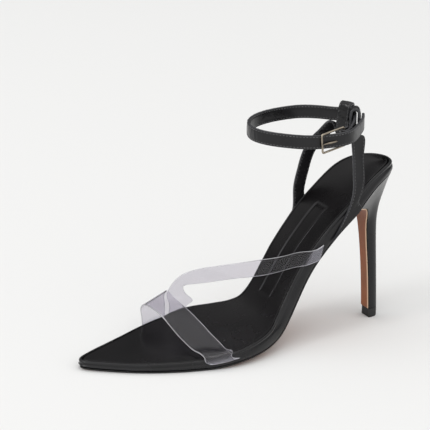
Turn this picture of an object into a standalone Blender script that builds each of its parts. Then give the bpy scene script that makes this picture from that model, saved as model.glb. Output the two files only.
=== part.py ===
# Strappy heeled sandal, left foot: last-shaped sole, stiletto heel, two clear bands and a buckled ankle strap.
# Metres, +X to the toe, +Y to the outer side, +Z up. The origin is the middle of the heel tip on the floor.
import math

import bmesh
import bpy
import numpy as np
from mathutils import Matrix, Vector

MM = 0.001
GAP = 0.3 * MM                    # between pieces that touch

# Sole and last
SOLE_LENGTH = 219.8 * MM          # seat back to toe tip, on the floor plan
SEAT_SETBACK = 8.8 * MM           # seat back behind the middle of the heel tip
SEAT_HEIGHT = 102.3 * MM          # underside of the sole at the seat back
BALL_START = 140 * MM             # where the sole meets the floor
BALL_END = 172 * MM
TOE_SPRING = 0.5 * MM
BALL_WIDTH = 80.5 * MM
WALL_HEIGHT = 9.6 * MM            # wrapped side with the outsole, at the arch
SEAT_CUP = 2.6 * MM               # hollow of the sock across the seat

OUTSOLE_THICKNESS = 1.3 * MM
RIM_WIDTH = 1.5 * MM
RIM_DEPTH = 2.0 * MM              # from the rim down to the board under the sock
SOLE_EDGE_INSET = 0.6 * MM        # edge of the outsole from the outside of the wall
SOCK_THICKNESS = 1.6 * MM
SOCK_MARGIN = 2.5 * MM            # sock edge from the outside of the wall

# Heel
BREAST_AT = 25 * MM               # breast line on the sole, in front of the origin
TIP_HEIGHT = 6.3 * MM
SHAFT_WIDTH = 9.0 * MM            # at the heel tip
SHAFT_DEPTH = 8.8 * MM
HEEL_INSET = 0.5 * MM             # seat of the heel from the outside of the wall
COVER_THICKNESS = 0.8 * MM        # tan cover of the heel breast
COVER_MARGIN = 0.02               # share of the breast left free at each side of the cover

# Clear bands
BAND_THICKNESS = 1.0 * MM
TOE_BAND_RISE = 25.5 * MM
TOE_OUTER_REAR = 119.0 * MM       # places of the toe band's edges along the wall, at its glued ends
TOE_OUTER_FRONT = 139.5 * MM
TOE_INNER_REAR = 133.9 * MM
TOE_INNER_FRONT = 153.5 * MM
TOE_REAR_SLANT = 5.0 * MM         # how far the edges run forward from the glued outer end up to the rim
TOE_FRONT_SLANT = 3.2 * MM
ARCH_BAND_RISE = 62 * MM
ARCH_INNER_REAR = 118.0 * MM
ARCH_INNER_FRONT = 130.5 * MM
ARCH_OUTER_REAR = 47.5 * MM
ARCH_OUTER_FRONT = 53.3 * MM
ARCH_START_X = 124.6 * MM         # floor plan of the arch band's middle line
ARCH_START_Y = -40.5 * MM
ARCH_FINISH_X = 62.0 * MM
ARCH_FINISH_Y = 25.0 * MM
ARCH_END_REACH = 4.6 * MM         # length of the glued outer end
BAND_GRIP = 3.9 * MM              # height of a glued band end above the floor line of the wall
BAND_COLUMNS = 4                  # faces across every band and strap
TOE_BAND_STEPS = 34               # rows of points along a band or strap
ARCH_BAND_STEPS = 44
SIDE_STEPS = 56
ANKLE_STEPS = 120
RIM_START = 0.3 * MM              # below the rim, where a band leaves the wall
RIM_CLEARANCE = 1.0 * MM          # from the rim to the middle of a band over it
RIM_REACH = 6 * MM                # how near to the wall a band counts as over the rim

# Ankle strap and its two side straps
STRAP_THICKNESS = 1.8 * MM
ANKLE_WIDTH = 9.0 * MM
ANKLE_HEIGHT = 137.6 * MM         # middle of the strap at the front
ANKLE_CENTRE = 50 * MM
ANKLE_FRONT = 43 * MM             # half lengths and half width of the loop
ANKLE_REAR = 30.3 * MM
ANKLE_HALF = 28.6 * MM
ANKLE_PINCH = 0.5                 # narrowing of the loop at the back
ANKLE_TILT = 0.08                 # fall per unit towards the outer side
ANKLE_REAR_LIFT = 3.2 * MM
SIDE_WIDTH = 8.6 * MM
OUTER_LOOP_AT = 156               # degrees round the ankle loop, front 0, outer side 90
INNER_LOOP_AT = 201
FOLD_LENGTH = 9 * MM              # folded end of a side strap below the ankle strap
LOOP_SLACK = 0.7 * MM             # room inside a loop, where the ankle strap curves
LOOP_LEAN = 8                     # degrees by which a loop leans back, along its strap

# Buckle
WIRE = 1.3 * MM
TIP_BAR_AT = 77.5                 # degrees round the ankle loop
HINGE_AT = 107.5
PRONG = 1.2 * MM
PRONG_SLOT = 2.2 * MM
HINGE_OUT = -1.0 * MM             # hinge bar from the middle of the ankle strap
FRAME_SPARE = 0.5 * MM            # room above and below the strap inside the frame
FRAME_CORNER = 1.0 * MM
TIP_DROP = 1.0 * MM               # tip bar below the middle of the strap


def cubic(knots, values, at, first_slope=None, last_slope=None):
    """Cubic spline through values at knots, read at the places given; ends are free or have a set slope."""
    knots = np.asarray(knots, float)
    values = np.asarray(values, float).reshape(len(knots), -1)
    count = len(knots)
    step = np.diff(knots)
    rise = np.diff(values, axis=0) / step[:, None]
    matrix = np.zeros((count, count))
    right = np.zeros_like(values)
    for i in range(1, count - 1):
        matrix[i, i - 1:i + 2] = step[i - 1], 2 * (step[i - 1] + step[i]), step[i]
        right[i] = 6 * (rise[i] - rise[i - 1])
    matrix[0, 0] = matrix[-1, -1] = 1
    if first_slope is not None:
        matrix[0, :2] = 2 * step[0], step[0]
        right[0] = 6 * (rise[0] - first_slope)
    if last_slope is not None:
        matrix[-1, -2:] = step[-1], 2 * step[-1]
        right[-1] = 6 * (last_slope - rise[-1])
    bend = np.linalg.solve(matrix, right)
    at = np.asarray(at, float)
    i = np.clip(np.searchsorted(knots, at) - 1, 0, count - 2)
    low, high, width = (at - knots[i])[:, None], (knots[i + 1] - at)[:, None], step[i][:, None]
    out = bend[i] * high ** 3 + bend[i + 1] * low ** 3
    out = out / (6 * width)
    out = out + (values[i] / width - bend[i] * width / 6) * high
    return out + (values[i + 1] / width - bend[i + 1] * width / 6) * low


def through(points, count):
    """Smooth curve through a few points, spaced by their distances; points may hold several curves side by side."""
    points = np.asarray(points, float)
    middle = points.reshape(len(points), -1, 3).mean(axis=1)
    reach = np.concatenate([[0], np.cumsum(np.linalg.norm(np.diff(middle, axis=0), axis=1))])
    return cubic(reach, points.reshape(len(points), -1), np.linspace(0, reach[-1], count)).reshape(count, -1, 3)


# Underside of the last from the seat to the ball
# Columns: share of the length from seat back to ball, share of the seat height
ARCH_ROWS = [
    (0.000, 1.000), (0.078, 0.984), (0.156, 0.926), (0.234, 0.814), (0.313, 0.706), (0.392, 0.575),
    (0.461, 0.438), (0.527, 0.268), (0.591, 0.136), (0.656, 0.072), (0.722, 0.046), (0.817, 0.027),
    (0.916, 0.010), (1.000, 0.000),
]


def last_path():
    """Underside of the sole in the middle plane: distance along it, X, Z and the slope of its tangent."""
    x = np.linspace(-SEAT_SETBACK, SOLE_LENGTH - SEAT_SETBACK, 1401)
    rows = np.array(ARCH_ROWS)
    share = np.clip((x + SEAT_SETBACK) / (BALL_START + SEAT_SETBACK), 0, 1)
    z = cubic(rows[:, 0], rows[:, 1], share, last_slope=0)[:, 0] * SEAT_HEIGHT
    z = np.where(x > BALL_START, 0, z)
    toe = np.clip((x - BALL_END) / (SOLE_LENGTH - SEAT_SETBACK - BALL_END), 0, 1)
    z = z + TOE_SPRING * toe ** 2
    along = np.concatenate([[0], np.cumsum(np.hypot(np.diff(x), np.diff(z)))])
    return along, x, z, np.arctan2(np.gradient(z, along), np.gradient(x, along))


PATH_S, PATH_X, PATH_Z, PATH_SLOPE = last_path()


def bend(s, y, n):
    """Point of the flat pattern, at distance s, sideways y and height n, laid on the last."""
    s, y, n = np.broadcast_arrays(s, y, n)
    slope = np.interp(s, PATH_S, PATH_SLOPE)
    x = np.interp(s, PATH_S, PATH_X) - np.sin(slope) * n
    z = np.interp(s, PATH_S, PATH_Z) + np.cos(slope) * n
    return np.stack([x, y, z], axis=-1)


# Outline of the sole and height of its wall
# Columns: share of the sole length, outer and inner half width as shares of the ball width,
# share of the wall height, share of the seat cup
OUTLINE_ROWS = [
    (0.0000, 0.000, 0.000, 0.90, 1.00),
    (0.0060, 0.085, 0.088, 0.90, 1.00),
    (0.0240, 0.158, 0.166, 0.90, 1.00),
    (0.0530, 0.222, 0.230, 0.91, 1.00),
    (0.0960, 0.275, 0.282, 0.94, 1.00),
    (0.1590, 0.299, 0.304, 1.06, 0.92),
    (0.2310, 0.287, 0.301, 1.06, 0.70),
    (0.3030, 0.270, 0.290, 1.04, 0.55),
    (0.3750, 0.296, 0.288, 1.12, 0.50),
    (0.4470, 0.388, 0.342, 1.12, 0.46),
    (0.5190, 0.464, 0.434, 1.05, 0.40),
    (0.5910, 0.494, 0.515, 0.92, 0.32),
    (0.6630, 0.468, 0.500, 0.79, 0.26),
    (0.7350, 0.422, 0.434, 0.71, 0.22),
    (0.8060, 0.355, 0.338, 0.67, 0.18),
    (0.8700, 0.273, 0.251, 0.63, 0.15),
    (0.9240, 0.184, 0.172, 0.63, 0.12),
    (0.9680, 0.103, 0.102, 0.63, 0.10),
    (0.9930, 0.047, 0.049, 0.63, 0.08),
    (1.0000, 0.000, 0.000, 0.63, 0.08),
]


def outline(at):
    """Rows of the flat sole at places counted in table rows: s, outer and inner half width, wall and cup."""
    rows = np.array(OUTLINE_ROWS)
    x = rows[:, 0] * SOLE_LENGTH - SEAT_SETBACK
    s = np.interp(x, PATH_X, PATH_S)
    table = np.column_stack([s, rows[:, 1:3] * BALL_WIDTH, rows[:, 3] * WALL_HEIGHT, rows[:, 4] * SEAT_CUP])
    # The widths change sign past both ends, which rounds the outline off there
    before = table[2:0:-1] * [1, -1, -1, 1, 1]
    after = table[-2:-4:-1] * [1, -1, -1, 1, 1]
    knots = np.arange(-2, len(rows) + 2)
    return np.maximum(cubic(knots, np.vstack([before, table, after]), at), 0)


DENSE = outline(np.linspace(0, len(OUTLINE_ROWS) - 1, 600))


def station(x):
    """Distance along the last under the place x of its underside."""
    return np.interp(x, PATH_X, PATH_S)


def half_width(s, side):
    """Half width of the sole at s on the outer side, +1, or the inner side, -1."""
    return np.interp(s, DENSE[:, 0], DENSE[:, 1 if side > 0 else 2])


def wall(s):
    return np.interp(s, DENSE[:, 0], DENSE[:, 3])


def on_wall(x, side, out, n):
    """Point beside the sole's wall: station x, distance out from the wall, height n square to the last."""
    s = station(x)
    return bend(s, side * (half_width(s, side) + out), n)


def inset(rows, margin):
    """Rows of the outline drawn in by a margin, which eases off towards the two ends."""
    middle = PATH_S[-1] / 2
    end = (rows[:, 0] - middle) / middle
    s = rows[:, 0] - margin * np.sign(end) * np.abs(end) ** 5
    outer, inner = rows[:, 1], rows[:, 2]
    safe = max(abs(margin), 0.001 * MM)
    return s, outer - margin * outer / (outer + safe), inner - margin * inner / (inner + safe)


def sole_sections(rows, rings, bottom_columns, top_columns, cup):
    """Closed loop round each row of the sole: across the bottom, up the outer wall, across the top and down.

    A ring is a margin from the outline, a height, and a share of the wall height added to it.
    """
    def level(ring):
        margin, height, share = ring
        s, outer, inner = inset(rows, margin)
        return s, outer, inner, rows[:, 3] * share + height

    def across(ring, columns, hollow):
        s, outer, inner, n = level(ring)
        share = np.linspace(-1, 1, columns + 1)
        y = (outer + inner)[:, None] / 2 * share + (outer - inner)[:, None] / 2
        deep = hollow * rows[:, 4][:, None] * (1 - share ** 2)
        return bend(s[:, None], y, n[:, None] - deep)

    def side_points(ring, side):
        s, outer, inner, n = level(ring)
        return bend(s, outer if side > 0 else -inner, n)[:, None]

    loop = [across(rings[0], bottom_columns, cup[0])]
    loop += [side_points(ring, 1) for ring in rings[1:-1]]
    loop += [across(rings[-1], top_columns, cup[1])[:, ::-1]]
    loop += [side_points(ring, -1) for ring in rings[-2:0:-1]]
    return np.concatenate(loop, axis=1)


def link(name, mesh, collection, colour, roughness, metallic=0.0, alpha=1.0):
    """Object for a mesh, with its own material."""
    material = bpy.data.materials.new(name + "_finish")
    material.use_nodes = True
    shader = material.node_tree.nodes["Principled BSDF"]
    shader.inputs["Base Color"].default_value = (*colour, 1)
    shader.inputs["Roughness"].default_value = roughness
    shader.inputs["Metallic"].default_value = metallic
    shader.inputs["Alpha"].default_value = alpha
    piece = bpy.data.objects.new(name, mesh)
    piece.data.materials.append(material)
    collection.objects.link(piece)
    return piece


def clean(mesh):
    """Merge the points that meet at the tips, drop empty faces and turn the faces outwards."""
    work = bmesh.new()
    work.from_mesh(mesh)
    bmesh.ops.remove_doubles(work, verts=work.verts, dist=0.002 * MM)
    bmesh.ops.dissolve_degenerate(work, edges=work.edges, dist=0.002 * MM)
    bmesh.ops.recalc_face_normals(work, faces=work.faces)
    work.to_mesh(mesh)
    work.free()
    mesh.shade_smooth()
    mesh.set_sharp_from_angle(angle=math.radians(40))
    return mesh


def skin(name, sections, close_first, close_last):
    """Mesh over closed loops of points, one loop after the other; an end that isn't a tip is closed."""
    rows, around = sections.shape[:2]
    index = np.arange(rows * around).reshape(rows, around)
    turned = np.roll(index, -1, axis=1)
    faces = np.stack([index[:-1], index[1:], turned[1:], turned[:-1]], axis=-1).reshape(-1, 4).tolist()
    if close_first:
        faces.append(index[0].tolist())
    if close_last:
        faces.append(index[-1].tolist())
    mesh = bpy.data.meshes.new(name)
    mesh.from_pydata(sections.reshape(-1, 3).tolist(), [], faces)
    return clean(mesh)


def across(edge_a, edge_b):
    """Row of a band, straight from one edge to the other."""
    share = np.linspace(0, 1, BAND_COLUMNS + 1)[:, None]
    return np.asarray(edge_a) * (1 - share) + np.asarray(edge_b) * share


def wall_row(side, out, ends_a, ends_b):
    """Row of a band that lies on the wall: an end is its station and its height square to the last."""
    ends = across(ends_a, ends_b)
    return np.array([on_wall(x, side, out, n) for x, n in ends])


def over_rim(row):
    """Lifts the points of a row that are close to the rim, so that the band passes over it."""
    for point in row:
        side = np.sign(point[1])
        at = point[0]
        for _ in range(8):
            rim = on_wall(at, side, 0, wall(station(at)) + RIM_CLEARANCE)
            at += point[0] - rim[0]
        if abs(point[1] - rim[1]) < RIM_REACH:
            point[2] = max(point[2], rim[2])
    return row


def sheet(name, grid, thickness, collection, look):
    """Band through a grid of points, given its thickness to both sides."""
    index = np.arange(grid.shape[0] * grid.shape[1]).reshape(grid.shape[:2])
    faces = np.stack([index[:-1, :-1], index[1:, :-1], index[1:, 1:], index[:-1, 1:]], axis=-1).reshape(-1, 4)
    mesh = bpy.data.meshes.new(name)
    mesh.from_pydata(grid.reshape(-1, 3).tolist(), [], faces.tolist())
    mesh.shade_smooth()
    piece = link(name, mesh, collection, *look)
    solid = piece.modifiers.new("Thickness", "SOLIDIFY")
    solid.thickness = thickness
    solid.offset = 0
    return piece


BLACK_LEATHER = ((0.022, 0.021, 0.023), 0.42)
SOCK_LEATHER = ((0.020, 0.019, 0.020), 0.5)
TAN_SOLE = ((0.24, 0.11, 0.05), 0.45)
BLACK_PLASTIC = ((0.015, 0.015, 0.016), 0.35)
CLEAR_BAND = ((0.88, 0.87, 0.9), 0.08, 0.0, 0.35)
METAL = ((0.62, 0.58, 0.52), 0.22, 1.0)

SOLE_AT = np.linspace(0, len(OUTLINE_ROWS) - 1, 39)
BOARD_BOTTOM = OUTSOLE_THICKNESS + GAP


def table_place(x):
    """Place x of the underside, counted in rows of the outline table."""
    return np.interp(station(x), DENSE[:, 0], np.linspace(0, len(OUTLINE_ROWS) - 1, len(DENSE)))


def footbed(collection):
    """Wrapped board of the sole: side wall, rolled rim, and the bed that the sock lies in."""
    rows = outline(SOLE_AT)
    rings = [
        (0.73 * RIM_WIDTH, BOARD_BOTTOM, 0),
        (0.23 * RIM_WIDTH, BOARD_BOTTOM + 0.3 * RIM_WIDTH, 0),
        (0.0, 0.0, 0.5),
        (0.13 * RIM_WIDTH, -0.6 * RIM_WIDTH, 1),
        (0.55 * RIM_WIDTH, 0.0, 1),
        (RIM_WIDTH, -0.3 * RIM_WIDTH, 1),
        (1.23 * RIM_WIDTH, -RIM_DEPTH, 1),
    ]
    sections = sole_sections(rows, rings, 4, 6, (0, 1))
    return link("footbed", skin("footbed", sections, False, False), collection, *BLACK_LEATHER)


def insole(collection):
    """Padded sock, hollow across the seat, with a turned edge."""
    rows = outline(SOLE_AT)
    low = -RIM_DEPTH + GAP
    rings = [
        (SOCK_MARGIN + 0.3 * SOCK_THICKNESS, low, 1),
        (SOCK_MARGIN, low + 0.3 * SOCK_THICKNESS, 1),
        (SOCK_MARGIN, low + 0.7 * SOCK_THICKNESS, 1),
        (SOCK_MARGIN + 0.4 * SOCK_THICKNESS, low + SOCK_THICKNESS, 1),
    ]
    sections = sole_sections(rows, rings, 6, 6, (1, 1))
    return link("insole", skin("insole", sections, False, False), collection, *SOCK_LEATHER)


def outsole(collection):
    """Thin outsole from the breast of the heel to the toe."""
    start = table_place(BREAST_AT + GAP)
    rows = outline(np.concatenate([[start], SOLE_AT[SOLE_AT > start + 0.2]]))
    rings = [
        (SOLE_EDGE_INSET + 0.54 * OUTSOLE_THICKNESS, 0.0, 0),
        (SOLE_EDGE_INSET + 0.15 * OUTSOLE_THICKNESS, 0.3 * OUTSOLE_THICKNESS, 0),
        (SOLE_EDGE_INSET, 0.8 * OUTSOLE_THICKNESS, 0),
        (SOLE_EDGE_INSET + 0.3 * OUTSOLE_THICKNESS, OUTSOLE_THICKNESS, 0),
    ]
    sections = sole_sections(rows, rings, 4, 4, (0, 0))
    return link("outsole", skin("outsole", sections, True, False), collection, *TAN_SOLE)


# Levels of the heel, from the tip up
# Columns: share of the seat height, front and back as shares of the shaft depth, half width and flare of the
# breast corners as shares of the shaft width, share of the way to the seat outline
HEEL_ROWS = [
    (0.066, 0.50, -0.38, 0.51, 0.00, 0.00),
    (0.300, 0.65, -0.25, 0.51, 0.00, 0.00),
    (0.500, 0.86, -0.13, 0.52, 0.00, 0.00),
    (0.640, 1.01, -0.06, 0.55, 0.05, 0.01),
    (0.710, 1.06, -0.08, 0.58, 0.20, 0.04),
    (0.755, 1.12, -0.14, 0.61, 0.38, 0.13),
    (0.778, 1.18, -0.22, 0.62, 0.46, 0.30),
    (0.785, 1.22, -0.22, 0.62, 0.46, 0.55),
    (0.800, 1.22, -0.22, 0.62, 0.46, 0.80),
    (0.800, 1.22, -0.22, 0.62, 0.46, 1.00),
]
HEEL_TURN = 106                   # degrees from the back of the shaft round to a breast corner
HEEL_LEVELS = 19
HEEL_SIDE = 10                    # steps from the back of the heel to a breast corner
HEEL_FRONT = 4                    # steps across the breast


def heel_loops(levels):
    """Loops round the heel at levels counted in table rows: back to outer corner, breast, inner corner to back."""
    table = cubic(np.arange(len(HEEL_ROWS)), HEEL_ROWS, levels)
    rows = outline(np.linspace(0, table_place(BREAST_AT), HEEL_SIDE + 1))
    s, outer, inner = inset(rows, HEEL_INSET)
    height = OUTSOLE_THICKNESS
    seat_outer = bend(s, outer, height)
    seat_inner = bend(s, -inner, height)
    across = np.linspace(0, 1, HEEL_FRONT + 1)[1:-1, None]
    seat_front = seat_outer[-1] * (1 - across) + seat_inner[-1] * across
    seat = np.vstack([seat_outer, seat_front, seat_inner[:0:-1]])

    turn = np.radians(np.linspace(0, HEEL_TURN, HEEL_SIDE + 1))
    deep = (1 - np.cos(turn)) / (1 - np.cos(turn[-1]))
    wide = np.sin(turn) ** 0.85
    loops = []
    for height_share, front, back, width, flare, spread in table:
        x = (back + (front - back) * deep) * SHAFT_DEPTH
        y = (wide * width + flare * deep ** 3) * SHAFT_WIDTH
        z = np.full_like(x, height_share * SEAT_HEIGHT)
        side = np.column_stack([x, y, z])
        face = side[-1] * (1 - across) + side[-1] * [1, -1, 1] * across
        shaft = np.vstack([side, face, (side * [1, -1, 1])[:0:-1]])
        loops.append(shaft * (1 - spread) + seat * spread)
    return np.array(loops)


def heel(collection):
    """Stiletto heel: a D-shaped shaft that flares into the seat."""
    loops = heel_loops(np.linspace(0, len(HEEL_ROWS) - 1, HEEL_LEVELS))
    loops[0, :, 2] = TIP_HEIGHT + GAP
    mesh = skin("heel", loops, True, False)
    work = bmesh.new()
    work.from_mesh(mesh)
    # The seat is closed by strips from side to side, which follow the underside of the last
    top = loops[-1]
    count = len(top)
    work.verts.ensure_lookup_table()

    def corner(point):
        return min(work.verts, key=lambda v: (v.co[0] - point[0]) ** 2 + (v.co[1] - point[1]) ** 2
                   + (v.co[2] - point[2]) ** 2)

    outer = [corner(top[k]) for k in range(HEEL_SIDE + 1)]
    inner = [outer[0]] + [corner(top[count - k]) for k in range(1, HEEL_SIDE + 1)]
    front = [corner(top[HEEL_SIDE + k]) for k in range(1, HEEL_FRONT)]
    for k in range(HEEL_SIDE - 1):
        strip = [outer[k], outer[k + 1], inner[k + 1]]
        if k:
            strip.append(inner[k])
        work.faces.new(strip)
    work.faces.new([outer[-2], outer[-1], *front, inner[-1], inner[-2]])
    bmesh.ops.recalc_face_normals(work, faces=work.faces)
    work.to_mesh(mesh)
    work.free()
    return link("heel", mesh, collection, *BLACK_LEATHER)


def heel_breast(collection):
    """Tan cover on the front of the heel, from the tip to the outsole."""
    loops = heel_loops(np.linspace(0, len(HEEL_ROWS) - 1, HEEL_LEVELS))[:-1]
    loops[0, :, 2] = TIP_HEIGHT + GAP
    face = loops[:, HEEL_SIDE:HEEL_SIDE + HEEL_FRONT + 1]
    outer = face[:, 0] * (1 - COVER_MARGIN) + face[:, -1] * COVER_MARGIN
    inner = face[:, -1] * (1 - COVER_MARGIN) + face[:, 0] * COVER_MARGIN
    along = np.gradient((outer + inner) / 2, axis=0)
    out = np.cross(along, inner - outer)
    out /= np.linalg.norm(out, axis=1)[:, None]
    out *= np.sign(out[0, 0])
    lift = out * (GAP + COVER_THICKNESS / 2)
    grid = np.array([across(a, b) for a, b in zip(outer + lift, inner + lift)])
    return sheet("heel_breast", grid, COVER_THICKNESS, collection, TAN_SOLE)


def heel_tip(collection):
    """Top piece under the heel, with the outline of the shaft."""
    loop = heel_loops(np.array([0.0]))[0]
    levels = [(0.97, 0.0), (1.0, 0.05 * TIP_HEIGHT), (1.0, TIP_HEIGHT)]
    middle = np.array([loop[:, 0].mean(), 0, 0])
    sections = []
    for share, z in levels:
        section = middle + (loop - middle) * [share, share, 0]
        section[:, 2] = z
        sections.append(section)
    return link("heel_tip", skin("heel_tip", np.array(sections), True, True), collection, *BLACK_PLASTIC)


# Toe band between its two glued ends, from the outer side to the inner side
# Columns: share of the half width, heights of the front and rear edge as shares of the rise
TOE_BAND_ROWS = [
    (0.90, 0.345, 0.375), (0.68, 0.360, 0.445), (0.45, 0.425, 0.535), (0.20, 0.515, 0.640),
    (-0.05, 0.640, 0.735), (-0.32, 0.775, 0.825), (-0.60, 0.840, 0.890), (-0.82, 0.845, 0.960),
    (-0.97, 0.805, 0.990), (-1.06, 0.690, 0.850), (-1.05, 0.510, 0.590),
]
BAND_OUT = 1.1 * GAP + BAND_THICKNESS / 2


def wall_end(side, x_a, x_b, slant_a=0.0, slant_b=0.0):
    """Two rows of a band on the wall: its glued end, and where it leaves the wall at the rim, further forward."""
    end = wall_row(side, BAND_OUT, (x_a, BAND_GRIP), (x_b, BAND_GRIP))
    rim_a = wall(station(x_a + slant_a)) - RIM_START
    rim_b = wall(station(x_b + slant_b)) - RIM_START
    return [end, wall_row(side, BAND_OUT, (x_a + slant_a, rim_a), (x_b + slant_b, rim_b))]


def toe_band(collection):
    """Clear band over the toes, glued to the wall on both sides."""
    rows = wall_end(1, TOE_OUTER_REAR, TOE_OUTER_FRONT, TOE_REAR_SLANT, TOE_FRONT_SLANT)
    outer_rim = (TOE_OUTER_REAR + TOE_REAR_SLANT, TOE_OUTER_FRONT + TOE_FRONT_SLANT)
    rows.append(over_rim(wall_row(1, 0, *((x, 0) for x in outer_rim))))
    for way, front, rear in TOE_BAND_ROWS:
        ends = []
        for outer_x, inner_x, height in zip(outer_rim, (TOE_INNER_REAR, TOE_INNER_FRONT), (rear, front)):
            x = outer_x + (inner_x - outer_x) * (1 - way) / 2
            ends.append((x, half_width(station(x), np.sign(way)) * way, height * TOE_BAND_RISE))
        rows.append(over_rim(across(*ends)))
    rows += wall_end(-1, TOE_INNER_REAR, TOE_INNER_FRONT)[::-1]
    return sheet("toe_strap", through(np.array(rows), TOE_BAND_STEPS), BAND_THICKNESS, collection, CLEAR_BAND)


# Arch band from the inner rim to the outer rim
# Columns: share of the way on the floor plan, then for the upper and the lower edge the offset towards the toe
# as a share of the way, and the height as a share of the rise
ARCH_BAND_ROWS = [
    (-0.020, -0.060, 0.225, 0.128, 0.225),
    (-0.035, -0.065, 0.330, 0.118, 0.305),
    (-0.030, -0.035, 0.436, 0.115, 0.378),
    (0.010, -0.015, 0.537, 0.065, 0.432),
    (0.090, 0.000, 0.620, 0.020, 0.468),
    (0.230, 0.000, 0.692, 0.000, 0.520),
    (0.430, 0.000, 0.771, 0.000, 0.600),
    (0.645, 0.000, 0.858, 0.000, 0.679),
    (0.810, 0.000, 0.932, -0.015, 0.768),
    (0.930, 0.000, 0.995, -0.035, 0.835),
]
# Columns: share of the glued end's length, drop of the upper and of the lower edge below the rim as shares of
# the wall height
ARCH_BAND_END_ROWS = [(1.0, -0.05, 0.13), (0.0, 0.42, 0.90)]


def arch_band(collection):
    """Clear band from the inner rim behind the toe band, across the arch, to the outer wall."""
    start = np.array([ARCH_START_X, ARCH_START_Y])
    way = np.array([ARCH_FINISH_X, ARCH_FINISH_Y]) - start
    rows = wall_end(-1, ARCH_INNER_FRONT, ARCH_INNER_REAR)
    for share, upper_shift, upper_height, lower_shift, lower_height in ARCH_BAND_ROWS:
        ends = []
        for shift, height in ((upper_shift, upper_height), (lower_shift, lower_height)):
            plan = start + way * share - np.array([shift * np.linalg.norm(way), 0])
            ends.append((*plan, height * ARCH_BAND_RISE))
        rows.append(over_rim(across(*ends)))
    rim = wall(station(ARCH_OUTER_REAR))
    for share, upper_drop, lower_drop in ARCH_BAND_END_ROWS:
        ahead = ARCH_END_REACH * share
        upper = (ARCH_OUTER_REAR + ahead, rim - upper_drop * WALL_HEIGHT)
        lower = (ARCH_OUTER_FRONT + ahead, rim - lower_drop * WALL_HEIGHT)
        rows.append(wall_row(1, BAND_OUT, upper, lower))
    return sheet("arch_strap", through(np.array(rows), ARCH_BAND_STEPS), BAND_THICKNESS, collection, CLEAR_BAND)


# Rise of the ankle loop towards the back
# Columns: degrees round the loop, share of the lift
ANKLE_LIFT_ROWS = [
    (-40, 0.00), (0, 0.00), (50, 0.00), (77, -0.18), (107, 0.18), (125, 0.27), (140, 0.57), (158, 0.89),
    (180, 1.00), (200, 0.95), (215, 0.55), (230, 0.32), (250, 0.11), (270, 0.00), (300, 0.00), (350, 0.00),
    (400, 0.00),
]


def ankle_place(degrees):
    """Middle of the ankle strap at angles round its loop: an egg that narrows and rises to the back."""
    turn = np.radians(degrees)
    back = np.maximum(-np.cos(turn), 0)
    half_length = np.where(np.cos(turn) > 0, ANKLE_FRONT, ANKLE_REAR)
    x = ANKLE_CENTRE + half_length * np.cos(turn)
    y = ANKLE_HALF * np.sin(turn) * (1 - ANKLE_PINCH * back ** 2.5)
    rows = np.array(ANKLE_LIFT_ROWS)
    lift = cubic(rows[:, 0], rows[:, 1], np.atleast_1d(degrees) % 360)[:, 0].reshape(np.shape(degrees))
    return np.stack([x, y, ANKLE_HEIGHT - ANKLE_TILT * y + ANKLE_REAR_LIFT * lift], axis=-1)


def ankle_frame(degrees):
    """Place on the ankle loop, and the level directions outwards and along the strap."""
    degrees = np.asarray(degrees, float)
    run = ankle_place(degrees + 0.5) - ankle_place(degrees - 0.5)
    run[..., 2] = 0
    run /= np.linalg.norm(run, axis=-1)[..., None]
    out = np.stack([run[..., 1], -run[..., 0], 0 * run[..., 0]], axis=-1)
    return ankle_place(degrees), out, run


LAYER = STRAP_THICKNESS + GAP     # from the middle of one layer of strap to the next
WRAP = WIRE / 2 + GAP + STRAP_THICKNESS / 2
TIP_BAR_OUT = STRAP_THICKNESS / 2 + GAP + WIRE / 2


def buckle_axes():
    """Middle of the hinge bar, reach to the tip bar, and the directions forwards, outwards and upwards."""
    hinge, hinge_away, _ = ankle_frame(HINGE_AT)
    tip, tip_away, _ = ankle_frame(TIP_BAR_AT)
    hinge = hinge + hinge_away * HINGE_OUT
    forward = tip + tip_away * TIP_BAR_OUT - np.array([0, 0, TIP_DROP]) - hinge
    reach = np.linalg.norm(forward)
    forward /= reach
    away = np.array([forward[1], -forward[0], 0])
    away *= np.sign(away[1]) / np.linalg.norm(away)
    up = np.cross(away, forward)
    return hinge, reach, forward, away, up * np.sign(up[2])


# Route of the strap beside the plain loop
# Columns: degrees round the loop, offset outwards counted in layers of strap
FOLDED_END_ROWS = [(121, -1.00), (116, -1.14)]
LOOP_START_ROWS = [(115, 0.29), (124, 0.00)]
UNDER_BUCKLE_ROWS = [(423, 0.00), (432, -0.05), (438, -0.05), (446, 0.24), (457, 0.95)]
FREE_END_ROWS = [
    (478, 1.43), (490, 1.62), (500, 2.10), (508, 2.40), (518, 2.43), (524, 2.48), (529, 2.62),
]
# Cuts for the prong
# Columns: name, from and to along the buckle as shares of its reach, from and to outwards as shares of the wrap
SLOT_ROWS = [("fold", -0.20, 0.20, -1.73, 1.35), ("hole", 0.21, 0.66, 0.32, 3.35)]


def ankle_path():
    """Middle of the ankle strap: folded round the hinge bar, once round the ankle, and back over the buckle."""
    hinge, out, run = ankle_frame(HINGE_AT)
    hinge = hinge + out * HINGE_OUT
    points = []
    for degrees, layers in FOLDED_END_ROWS:
        place, away, _ = ankle_frame(degrees)
        points.append(place + away * layers * LAYER)
    for degrees in range(-80, 81, 20):
        angle = math.radians(degrees)
        points.append(hinge + WRAP * (out * math.sin(angle) - run * math.cos(angle)))
    over_hinge = (WRAP + HINGE_OUT) / LAYER + 1
    rows = LOOP_START_ROWS + [(degrees, 0.0) for degrees in range(138, 409, 15)]
    rows += UNDER_BUCKLE_ROWS + [(HINGE_AT + 360, over_hinge)] + FREE_END_ROWS
    for degrees, layers in rows:
        place, away, _ = ankle_frame(degrees)
        points.append(place + away * layers * LAYER)
    return np.array(points)


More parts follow.
